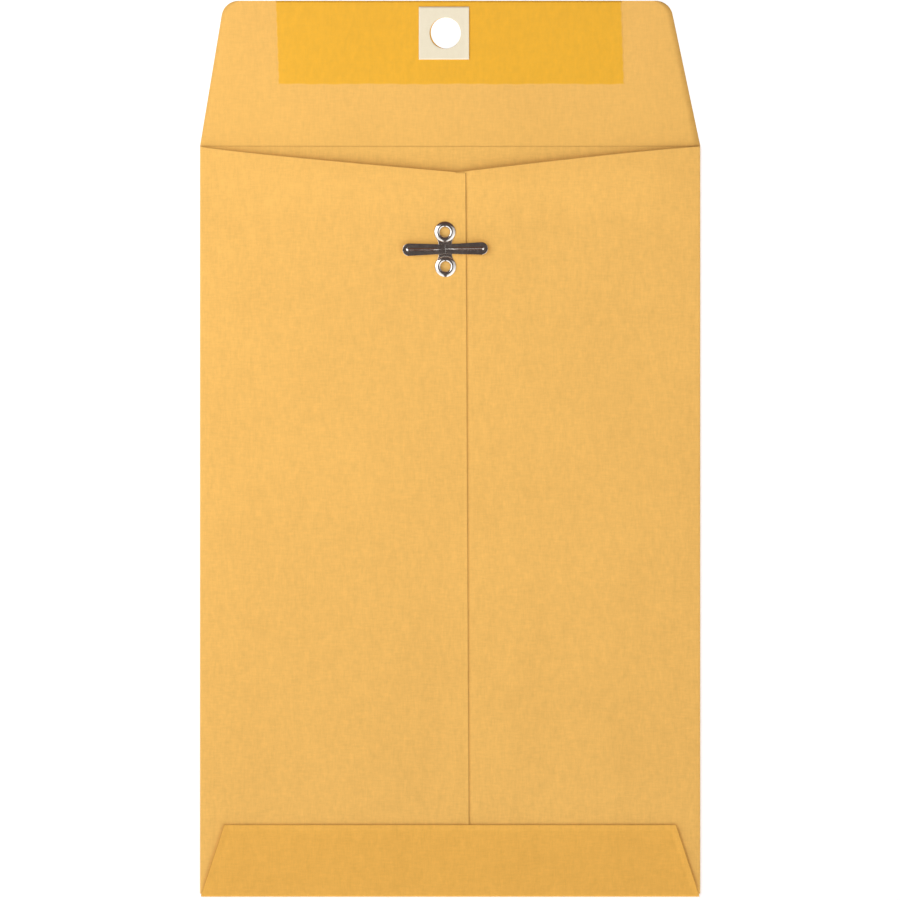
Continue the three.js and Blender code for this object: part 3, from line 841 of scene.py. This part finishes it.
def web_rings():
    """The flat web between the eyelets. Its sides run straight and then flare in a round fillet up to each
    eyelet, and its ends are hollowed to pass in under the eyelets' rims."""
    fillet_x = WEB_HALF + NECK_FILLET
    drop = np.sqrt((EYELET_RADIUS + NECK_FILLET) ** 2 - fillet_x**2)
    fillet_y = EYELET_Y - drop
    meet = NECK_FILLET / (EYELET_RADIUS + NECK_FILLET)
    meet_x, meet_y = fillet_x * (1 - meet), fillet_y + (EYELET_Y - fillet_y) * meet
    entry = EYELET_RADIUS - WEB_ENTRY
    entry_x = meet_x * entry / EYELET_RADIUS
    share = np.linspace(-1, 1, 61)[:, None]
    across, up = flat_section(1.0, METAL, WEB_EDGE, SECTION_POINTS)
    end = EYELET_Y - np.sqrt(entry**2 - (across * entry_x) ** 2)
    y = -share * end
    flare = fillet_x - np.sqrt(np.clip(NECK_FILLET**2 - (abs(y) - fillet_y) ** 2, 0, None))
    width = np.where(abs(y) > fillet_y, flare, WEB_HALF)
    last = entry_x + (meet_x - entry_x) * (end.max() - abs(y)) / (end.max() - meet_y)
    width = np.where(abs(y) > meet_y, last, width)
    z = np.broadcast_to(CLASP_SEAT + METAL / 2 + up, y.shape)
    rings = np.stack([across * width, y, z], -1)
    return rings, loft(rings)


def rib_height(x, across):
    """The embossed rib: a squared cosine of the distance from its middle line, so that its outer end is
    round. It rises slowly from the root."""
    away = np.clip(np.hypot(np.maximum(x - RIB_END_X, 0), across) / RIB_HALF_WIDTH, 0, 1)
    rise = bpy.context.scene.clasp_envelope.clasp.rib_rise / MM
    return rise * smooth(x, *RIB_START) * np.cos(np.pi / 2 * away) ** 2


def bar_rings(upper, lower, half_width, rounding, side, ribbed=False):
    """A flat bar between two lines in the clasp's XZ plane, its upper and its lower face, whose points face
    one another. The blade's rib lifts both faces. Side 1 is the right one, and -1 is that one turned half
    round."""
    middle, square = (upper + lower) / 2, (upper - lower) / METAL
    sections = [
        flat_section(width, METAL, edge, SECTION_POINTS)
        for width, edge in zip(half_width, rounding)
    ]
    across = np.array([section[0] for section in sections])
    up = np.array([section[1] for section in sections])
    if ribbed:
        up = up + rib_height(middle[:, :1], across)
    x = middle[:, :1] + square[:, :1] * up
    z = middle[:, 1:] + square[:, 1:] * up
    rings = np.stack([x * side, across * side, z], -1)
    return rings, loft(rings)


def tongue_rings(side):
    """A tongue folded back over the web from its side and turned up as the short leg under a prong."""
    web_level = CLASP_SEAT + METAL / 2
    fold = (METAL + TONGUE_GAP) / 2
    arm = web_level + 2 * fold
    half, corner = METAL / 2, LEG_CORNER
    start = np.array([[WEB_HALF - METAL, web_level]])
    top = np.array([[LEG_X, LEG_SPLIT]])
    hub = (WEB_HALF, web_level + fold)
    outer = [start - (0, half), arc(hub, fold + half, -90, 90, 12)]
    inner = [start + (0, half), arc(hub, fold - half, -90, 90, 12)]
    outer += [arc((LEG_X + half + corner, arm + half + corner), corner, -90, -180, 6), top + (half, 0)]
    inner += [arc((LEG_X - half + corner, arm - half + corner), corner, -90, -180, 6), top - (half, 0)]
    upper, lower = np.vstack(inner), np.vstack(outer)
    width = np.full(len(upper), PRONG_ROOT_HALF)
    rounding = np.full(len(upper), TONGUE_EDGE)
    return bar_rings(upper, lower, width, rounding, side)


def prong_rings(side):
    """One prong: its leg, a sharp bend, and a blade that widens steadily to a full round tip. Its edges are
    worn, and most so round the tip."""
    half, corner = METAL / 2, LEG_CORNER
    tip_x = PRONG_TIP_X - PRONG_TIP_RADIUS
    tip = np.radians(np.linspace(0, 88.5, 28))[1:]
    start = LEG_X + half + corner
    blade_x = np.concatenate([np.linspace(start, tip_x, 90)[1:], tip_x + PRONG_TIP_RADIUS * np.sin(tip)])
    blade = np.stack([blade_x, np.full(len(blade_x), PRONG_LEVEL)], -1)
    leg = np.array([[LEG_X, LEG_SPLIT], [LEG_X, LEG_SPLIT + 0.1]])
    upper_bend = arc((LEG_X - half + corner, PRONG_LEVEL + half - corner), corner, 180, 90, 6)
    lower_bend = arc((LEG_X + half + corner, PRONG_LEVEL - half - corner), corner, 180, 90, 6)
    upper = np.vstack([leg - (half, 0), upper_bend, blade + (0, half)])
    lower = np.vstack([leg + (half, 0), lower_bend, blade - (0, half)])
    share = np.clip((upper[:, 0] - LEG_X) / (tip_x - LEG_X), 0, 1)
    width = PRONG_ROOT_HALF + (PRONG_TIP_RADIUS - PRONG_ROOT_HALF) * share
    width[-len(tip):] = PRONG_TIP_RADIUS * np.cos(tip)
    rounding = PRONG_EDGE + PRONG_TIP_WEAR * smooth(upper[:, 0], tip_x - 1, tip_x + 1)
    return bar_rings(upper, lower, width, rounding, side, ribbed=True)


# What a user of the add-on would change

class PaperSettings(bpy.types.PropertyGroup):
    colour: FloatVectorProperty(
        name="Kraft colour", description="The paper's mean colour", subtype="COLOR",
        size=3, min=0, max=1, default=(0.861, 0.494, 0.124),
    )
    cut_colour: FloatVectorProperty(
        name="Cut edge colour", description="The inside of the sheet, on its cut edges", subtype="COLOR",
        size=3, min=0, max=1, default=(0.9, 0.58, 0.22),
    )
    mottle: FloatProperty(
        name="Mottle", description="How far the tones lie from the mean colour",
        min=0, max=0.3, default=0.09, subtype="FACTOR",
    )
    pillow: FloatProperty(
        name="Pillow", description="How far each back panel bulges",
        min=0, max=0.0006, default=0.0003, unit="LENGTH", precision=5,
    )
    throat_rise: FloatProperty(
        name="Throat rise", description="How far the back panels stand up at the middle of the throat",
        min=0, max=0.0008, default=0.0008, unit="LENGTH", precision=5,
    )
    pressed: FloatProperty(
        name="Pressed up", description="How far the front panel stands up under the clinched eyelets",
        min=0, max=0.00035, default=0.00033, unit="LENGTH", precision=5,
    )
    edge_lift: FloatProperty(
        name="Edge lift", description="How far the unglued margins of the seam and the bottom flap lift",
        min=0, max=0.0003, default=0.0001, unit="LENGTH", precision=5,
    )


class GumSettings(bpy.types.PropertyGroup):
    colour: FloatVectorProperty(
        name="Gum colour", description="The dried gum on kraft", subtype="COLOR",
        size=3, min=0, max=1, default=(0.855, 0.44, 0.022),
    )


class PatchSettings(bpy.types.PropertyGroup):
    colour: FloatVectorProperty(
        name="Patch colour", description="The paper patch round the hole", subtype="COLOR",
        size=3, min=0, max=1, default=(0.84, 0.765, 0.59),
    )


class ClaspSettings(bpy.types.PropertyGroup):
    colour: FloatVectorProperty(
        name="Metal colour", description="The reflectance of the tinplate", subtype="COLOR",
        size=3, min=0, max=1, default=(0.74, 0.7, 0.66),
    )
    rib_rise: FloatProperty(
        name="Rib rise", description="How far the rib stands up from each prong",
        min=0, max=0.0004, default=0.00025, unit="LENGTH", precision=5,
    )


class StageSettings(bpy.types.PropertyGroup):
    floor_colour: FloatVectorProperty(
        name="Floor colour", description="The table", subtype="COLOR",
        size=3, min=0, max=1, default=(0.8, 0.8, 0.8),
    )
    floor_glow: FloatProperty(
        name="Floor glow", description="What brings the floor up to white in the picture and in reflections",
        min=0, max=1, default=0.4,
    )
    room: FloatProperty(
        name="Room light", description="Radiance of the pale room at its sides", min=0, max=3, default=0.42,
    )
    slot: FloatProperty(
        name="Slot light", description="Radiance of the dark slot overhead", min=0, max=1, default=0.09,
    )
    left_lamp: FloatProperty(
        name="Left lamp", description="Power of the softbox at the left",
        min=0, max=50, default=1.3, unit="POWER",
    )
    right_lamp: FloatProperty(
        name="Right lamp", description="Power of the softbox at the right",
        min=0, max=50, default=0.42, unit="POWER",
    )
    camera_height: FloatProperty(
        name="Camera height", description="From the table to the camera",
        min=0.2, max=5, default=1.524, unit="LENGTH",
    )


class EnvelopeSettings(bpy.types.PropertyGroup):
    paper: PointerProperty(type=PaperSettings)
    gum: PointerProperty(type=GumSettings)
    patch: PointerProperty(type=PatchSettings)
    clasp: PointerProperty(type=ClaspSettings)
    stage: PointerProperty(type=StageSettings)


# The pieces

class ENVELOPE_OT_front_panel(bpy.types.Operator):
    """Lay the front panel face down, whose inner side shows in the throat"""
    bl_idname = "envelope.front_panel"
    bl_label = "Front panel"

    def execute(self, context):
        across = lines(-SIDE_FOLD_X, (CLASP[0] - 16, 12), (CLASP[0] + 16, 40), (SIDE_FOLD_X, 12))
        along = lines(BOTTOM_FOLD_Y, (CLASP[1] - 24, 20), (FOLD_Y - 1, 50), (FOLD_Y, 8))

        def middle(s, t):
            away = np.hypot(s - CLASP[0], (t - CLASP[1]) * 0.7)
            pressed = context.scene.clasp_envelope.paper.pressed / MM
            lift = pressed * (1 - smooth(away, *PRESSED_ROUND_CLASP))
            return np.stack([s, t, PAPER / 2 + lift], -1)

        # Painted light: the kraft seen through each eyelet's bore is paled to offset the bore's shade.
        def painted_light_in_bores(s, t):
            distances = [np.hypot(s - x, t - y) for x, y in (barrel_place(1), barrel_place(-1))]
            return BORE_PAINTED_LIGHT * (1 - smooth(np.minimum(*distances), *BORE_PAINTED_LIGHT_RADII))

        # Painted shade along the score line.
        marks = {"painted_shade": lambda s, t: PANEL_SCORE_SHADE * score_mark(s, t), "rub": painted_light_in_bores}
        plan = plan_mesh(across, along)
        piece = paper_sheet("front_sheet", plan, middle, PAPER, [kraft(), kraft_cut()], marks=marks)
        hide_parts("front_panel")
        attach(piece, "envelope")
        return {"FINISHED"}


class ENVELOPE_OT_back_panels(bpy.types.Operator):
    """Fold the two back panels over and join them at the seam"""
    bl_idname = "envelope.back_panels"
    bl_label = "Back panels"

    def execute(self, context):
        wrap = (SIDE_FOLD - PAPER / 2) * np.pi
        lower, upper = barrel_holes()
        block = lower[3][:2]
        (low_start, low_end), (high_start, high_end) = lower[3][2:], upper[3][2:]
        along = lines(
            PANEL_BOTTOM, (-90, 10), (40, 44), (low_start, 16), (low_end, 6),
            (high_start, 4), (high_end, 6), (FOLD_Y - 0.4, 24), (FOLD_Y, 5),
        )
        left = lines(
            -SIDE_FOLD_X - wrap, (-SIDE_FOLD_X, FOLD_STEPS), (block[0], 30), (block[1], 6),
            (LIP_X - 0.1, 2), (LIP_X + 0.1, 4), (SEAM_X - SEAM_MARGIN, 2), (SEAM_X - 0.4, 5), (SEAM_X, 5),
        )
        right = lines(
            TAB_EDGE_X, (block[0], 3), (block[1], 6), (SEAM_X, 4), (SEAM_X + 4, 32),
            (SIDE_FOLD_X, 30), (SIDE_FOLD_X + wrap, FOLD_STEPS),
        )
        # Each panel's cut edges along the throat and the seam get painted shade, and its side fold a rub.
        for name, across, middle, dark in (
            ("left_back_sheet", left, left_panel_middle, left_painted_edge_shade),
            ("right_back_sheet", right, right_panel_middle, right_painted_edge_shade),
        ):
            marks = {"rub": side_fold_mark, "painted_shade": dark}
            plan = plan_mesh(across, along, [lower, upper])
            piece = paper_sheet(name, plan, middle, PAPER, [kraft(), kraft_cut()], marks=marks)
            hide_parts(name.replace("sheet", "panel"))
            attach(piece, "envelope")
        return {"FINISHED"}


class ENVELOPE_OT_bottom_flap(bpy.types.Operator):
    """Turn the bottom flap up over the ends of the back panels"""
    bl_idname = "envelope.bottom_flap"
    bl_label = "Bottom flap"

    def execute(self, context):
        wrap = (BOTTOM_FOLD - PAPER / 2) * np.pi
        across = lines(-1, (-0.994, 5), (-0.965, 6), (0.965, 48), (0.994, 6), (1, 5))
        along = lines(
            BOTTOM_FOLD_Y - wrap, (BOTTOM_FOLD_Y, FOLD_STEPS), (BOTTOM_FLAP_Y - 2.4, 14),
            (BOTTOM_FLAP_Y - 0.4, 6), (BOTTOM_FLAP_Y, 5),
        )

        def rub(s, t):
            return FOLD_RUB * np.exp(-(((t - BOTTOM_FOLD_Y + wrap / 2) / FOLD_RUB_WIDTH) ** 2))

        # Painted shade along the flap's top and slanted edges
        def dark(s, t):
            beside = (1 - abs(s)) * bottom_half_width(t)
            return painted_edge_shade(np.minimum(BOTTOM_FLAP_Y - t, beside)) * (t > BOTTOM_FOLD_Y)

        colour = context.scene.clasp_envelope.paper.colour
        materials = [kraft(tinted(colour, BOTTOM_TINT), "brown_kraft_at_bottom"), kraft_cut()]
        marks = {"rub": rub, "painted_shade": dark}
        plan = plan_mesh(across, along)
        piece = paper_sheet("bottom_flap_sheet", plan, bottom_flap_middle, PAPER, materials, marks=marks)
        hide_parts("bottom_flap")
        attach(piece, "envelope")
        return {"FINISHED"}


class ENVELOPE_OT_closure_flap(bpy.types.Operator):
    """Cut the closure flap, which bends along its score line"""
    bl_idname = "envelope.closure_flap"
    bl_label = "Closure flap"

    def execute(self, context):
        left, right, low, high = HOLE_BLOCK
        across = lines(-HALF_WIDTH, (left, 30), (right, 18), (HALF_WIDTH, 30))
        start = np.degrees(np.arcsin((high - FLAP_TOP_Y + FLAP_CORNER) / FLAP_CORNER))
        corner = FLAP_TOP_Y - FLAP_CORNER + FLAP_CORNER * np.sin(np.radians(np.linspace(start, 90, 13)))
        along = np.concatenate([lines(FOLD_Y, (FOLD_Y + 1.2, 24), (low, 16), (high, 18))[:-1], corner])
        plan = plan_mesh(across, along, [(*HOLE, HOLE_RADIUS, HOLE_BLOCK)])
        # Painted shade along the score line, which is also dented.
        marks = {"painted_shade": lambda s, t: FLAP_SCORE_SHADE * score_mark(s, t)}
        materials = [kraft(name="brown_kraft_at_flap", grain=FLAP_GRAIN), kraft_cut()]
        piece = paper_sheet(
            "closure_flap_sheet", plan, closure_flap_middle, PAPER, materials,
            dent=lambda s, t: SCORE_DENT * score_mark(s, t), marks=marks,
        )
        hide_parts("closure_flap")
        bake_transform(piece)
        return {"FINISHED"}


class ENVELOPE_OT_gum_strip(bpy.types.Operator):
    """Lay the film of dried gum on the closure flap"""
    bl_idname = "envelope.gum_strip"
    bl_label = "Gum strip"

    def execute(self, context):
        left, right, low, high = HOLE_BLOCK
        start, end = GUM_LOW[0], GUM_HIGH[0] - GUM_LEAN
        across = lines(start, (start + 0.6, 6), (left, 60), (right, 18), (end - 0.6, 60), (end, 6))
        along = lines(GUM_LOW[1], (GUM_LOW[1] + 0.6, 6), (low, 24), (high, 18), (FLAP_TOP_Y, 6))
        plan = plan_mesh(across, along, [(*HOLE, HOLE_RADIUS, HOLE_BLOCK)])
        marks = {"feather": lambda s, t: GUM_FEATHER * (1 - smooth(gum_inside(s, t), 0, GUM_FEATHER_WIDTH))}
        materials = [gum_film(), gum_film()]
        piece = paper_sheet("gum_strip", plan, gum_middle, gum_thickness, materials, marks=marks)
        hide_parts("flap_gum")
        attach(piece, "flap")
        return {"FINISHED"}


class ENVELOPE_OT_hole_patch(bpy.types.Operator):
    """Stick the cream patch round the hole"""
    bl_idname = "envelope.hole_patch"
    bl_label = "Hole patch"

    def execute(self, context):
        left, right, low, high = HOLE_BLOCK
        across = lines(PATCH_LOW[0], (left, 4), (right, 18), (PATCH_HIGH[0], 10))
        along = lines(PATCH_LOW[1], (low, 4), (high, 18), (PATCH_HIGH[1], 4))
        plan = plan_mesh(across, along, [(*HOLE, HOLE_RADIUS, HOLE_BLOCK)])
        thickness = PATCH_HIGH[2] - PATCH_LOW[2]
        materials = [patch_paper(), patch_paper("cream_paper_edge", PATCH_EDGE_TONE)]
        piece = paper_sheet("patch_sheet", plan, patch_middle, thickness, materials)
        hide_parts("hole_patch")
        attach(piece, "flap")
        return {"FINISHED"}


class ENVELOPE_OT_glue(bpy.types.Operator):
    """Lay the glue line in the seam, and finish the glue under the bottom flap"""
    bl_idname = "envelope.glue"
    bl_label = "Glue"

    def execute(self, context):
        lower, upper = barrel_holes()
        left, right, low_start, low_end = lower[3]
        high_start, high_end = upper[3][2:]
        across = lines(GLUE_LOW[0], (left, 3), (right, 6), (GLUE_HIGH[0], 4))
        along = lines(
            GLUE_LOW[1], (low_start, 60), (low_end, 6), (high_start, 4), (high_end, 6), (GLUE_HIGH[1], 14),
        )
        plan = plan_mesh(across, along, [lower, upper])
        materials = [dry_glue(), dry_glue()]
        piece = paper_sheet("seam_glue_line", plan, glue_line_middle, GLUE_THICKNESS, materials)
        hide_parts("seam_glue")
        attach(piece, "envelope")
        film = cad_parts["bottom_flap_glue"]
        film.data.materials.clear()
        film.data.materials.append(dry_glue())
        return {"FINISHED"}


class ENVELOPE_OT_clasp_plate(bpy.types.Operator):
    """Stamp the clasp's fixed part: the web, its two eyelets and the two tongues folded back over it"""
    bl_idname = "envelope.clasp_plate"
    bl_label = "Clasp plate"

    def execute(self, context):
        parts = [eyelet_rings(1), eyelet_rings(-1), web_rings(), tongue_rings(1), tongue_rings(-1)]
        points, faces = join(parts)
        piece = new_piece("clasp_plate", on_envelope(points), faces, [tinplate()])
        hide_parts("clasp_base")
        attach(piece, "envelope")
        return {"FINISHED"}


class ENVELOPE_OT_prongs(bpy.types.Operator):
    """Form the two prongs, which bend up at their roots"""
    bl_idname = "envelope.prongs"
    bl_label = "Prongs"

    def execute(self, context):
        for name, side in (("left_prong", -1), ("right_prong", 1)):
            rings, faces = prong_rings(side)
            points = rings.reshape(-1, 3)
            # Paint a highlight along the top of the rib's crest, stronger on the right prong.
            on_top = (points[:, 2] > PRONG_LEVEL) & (abs(points[:, 0]) < HIGHLIGHT_END_X)
            crest_highlight = RIB_PAINTED_HIGHLIGHT[name] * np.exp(-((points[:, 1] / HIGHLIGHT_WIDTH) ** 2)) * on_top
            places = on_envelope(points)
            piece = new_piece(name + "_strip", places, faces, [tinplate()], marks={"painted_highlight": crest_highlight})
            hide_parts(name)
            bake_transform(piece)
        return {"FINISHED"}


class ENVELOPE_OT_stage(bpy.types.Operator):
    """Set the pale floor, the room, the two softboxes and the camera"""
    bl_idname = "envelope.stage"
    bl_label = "Stage"

    def execute(self, context):
        stage = context.scene.clasp_envelope.stage
        context.scene.view_settings.view_transform = "Standard"
        self.lay_floor(stage)
        self.light_room(context, stage)
        for (name, place, width), power in zip(SOFTBOXES, (stage.left_lamp, stage.right_lamp)):
            light = bpy.data.lights.new(name, "AREA")
            light.shape = "RECTANGLE"
            light.size = width
            light.size_y = SOFTBOX_HEIGHT
            light.energy = power
            lamp = bpy.data.objects.new(name, light)
            lamp.location = place
            lamp.rotation_euler = (-lamp.location).to_track_quat("-Z", "Y").to_euler()
            context.scene.collection.objects.link(lamp)
        lens = bpy.data.cameras.new("camera")
        lens.lens = CAMERA_LENS
        lens.sensor_width = SENSOR_WIDTH
        camera = bpy.data.objects.new("camera", lens)
        camera.location = (CAMERA_X, CAMERA_Y, stage.camera_height)
        context.scene.collection.objects.link(camera)
        context.scene.camera = camera
        return {"FINISHED"}

    def lay_floor(self, stage):
        """A square floor just under the envelope. Its glow is for the camera, reflections and what is seen
    through clear things only."""
        square = np.array([[-1, -1, 0], [1, -1, 0], [1, 1, 0], [-1, 1, 0]])
        corners = square * FLOOR_REACH + (0, 0, FLOOR_LEVEL)
        material = bpy.data.materials.new("pale_floor")
        material.use_nodes = True
        tree = material.node_tree
        surface = next(n for n in tree.nodes if n.type == "BSDF_PRINCIPLED")
        surface.inputs["Base Color"].default_value = (*stage.floor_colour, 1)
        surface.inputs["Roughness"].default_value = 0.9
        surface.inputs["Specular IOR Level"].default_value = 0.0
        surface.inputs["Emission Color"].default_value = (1, 1, 1, 1)
        path = add_node(tree, "ShaderNodeLightPath").outputs
        seen = sums(tree, "MAXIMUM", path["Is Camera Ray"], path["Is Glossy Ray"])
        seen = sums(tree, "MAXIMUM", seen, path["Is Transmission Ray"])
        glow = sums(tree, "MULTIPLY", seen, stage.floor_glow)
        tree.links.new(glow, surface.inputs["Emission Strength"])
        floor = new_piece("floor", corners, [[0, 1, 2, 3]], [material])

    def light_room(self, context, stage):
        """A pale room, brightest at the front, with a dark slot overhead, where the camera hangs. The slot
        is narrow towards the front and opens out behind."""
        world = bpy.data.worlds.new("room")
        context.scene.world = world
        world.use_nodes = True
        tree = world.node_tree
        back = next(n for n in tree.nodes if n.type == "BACKGROUND")
        place = add_node(tree, "ShaderNodeTexCoord").outputs["Generated"]
        x, y, z = add_node(tree, "ShaderNodeSeparateXYZ", {0: place}).outputs
        wider = self.step(tree, y, *SLOT_WIDENING_Y)
        narrow = sums(tree, "MULTIPLY_ADD", wider, SLOT_WIDENING, SLOT_HALF_IN_FRONT)
        reach = sums(tree, "MULTIPLY_ADD", sums(tree, "MAXIMUM", y, 0.0), SLOT_OPENING, narrow)
        beside = self.step(tree, sums(tree, "SUBTRACT", sums(tree, "ABSOLUTE", x), reach), *SLOT_EDGE)
        high = self.step(tree, z, *SLOT_FOOT)
        dark = sums(tree, "MULTIPLY", sums(tree, "SUBTRACT", 1.0, beside), high)
        pale = self.step(tree, y, *ROOM_TURN)
        behind, in_front = ((stage.room * part,) * 3 + (1,) for part in (ROOM_BEHIND, ROOM_IN_FRONT))
        room = mixed(tree, pale, behind, in_front)
        overhead = shade(SLOT_OVERHEAD_TINT, stage.slot)
        aside = shade(SLOT_ASIDE_TINT, stage.slot)
        away = self.step(tree, sums(tree, "ABSOLUTE", y), *SLOT_ASIDE)
        tree.links.new(mixed(tree, dark, room, mixed(tree, away, overhead, aside)), back.inputs["Color"])
        back.inputs["Strength"].default_value = 1.0

    def step(self, tree, value, start, end):
        """A smooth step of a value from 0 to 1."""
        values = {"Value": value, "From Min": start, "From Max": end}
        made = add_node(tree, "ShaderNodeMapRange", values, interpolation_type="SMOOTHSTEP")
        return made.outputs["Result"]


PIECES = (
    ENVELOPE_OT_front_panel,
    ENVELOPE_OT_back_panels,
    ENVELOPE_OT_bottom_flap,
    ENVELOPE_OT_closure_flap,
    ENVELOPE_OT_gum_strip,
    ENVELOPE_OT_hole_patch,
    ENVELOPE_OT_glue,
    ENVELOPE_OT_clasp_plate,
    ENVELOPE_OT_prongs,
    ENVELOPE_OT_stage,
)


class ENVELOPE_PT_pieces(bpy.types.Panel):
    """Lists the settings and the pieces"""
    bl_idname = "ENVELOPE_PT_pieces"
    bl_label = "Clasp envelope"
    bl_space_type = "VIEW_3D"
    bl_region_type = "UI"
    bl_category = "Clasp envelope"

    def draw(self, context):
        settings = context.scene.clasp_envelope
        for group in (settings.paper, settings.gum, settings.patch, settings.clasp, settings.stage):
            column = self.layout.box().column()
            for name in group.__annotations__:
                column.prop(group, name)
        for piece in PIECES:
            self.layout.operator(piece.bl_idname)


SETTINGS = (PaperSettings, GumSettings, PatchSettings, ClaspSettings, StageSettings, EnvelopeSettings)
CLASSES = (*SETTINGS, *PIECES, ENVELOPE_PT_pieces)


def register():
    for each in CLASSES:
        bpy.utils.register_class(each)
    bpy.types.Scene.clasp_envelope = PointerProperty(type=EnvelopeSettings)


def unregister():
    del bpy.types.Scene.clasp_envelope
    for each in reversed(CLASSES):
        bpy.utils.unregister_class(each)


def main():
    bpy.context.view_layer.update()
    register()
    for piece in PIECES:
        group, name = piece.bl_idname.split(".")
        getattr(getattr(bpy.ops, group), name)()


if __name__ == "__main__":
    main()
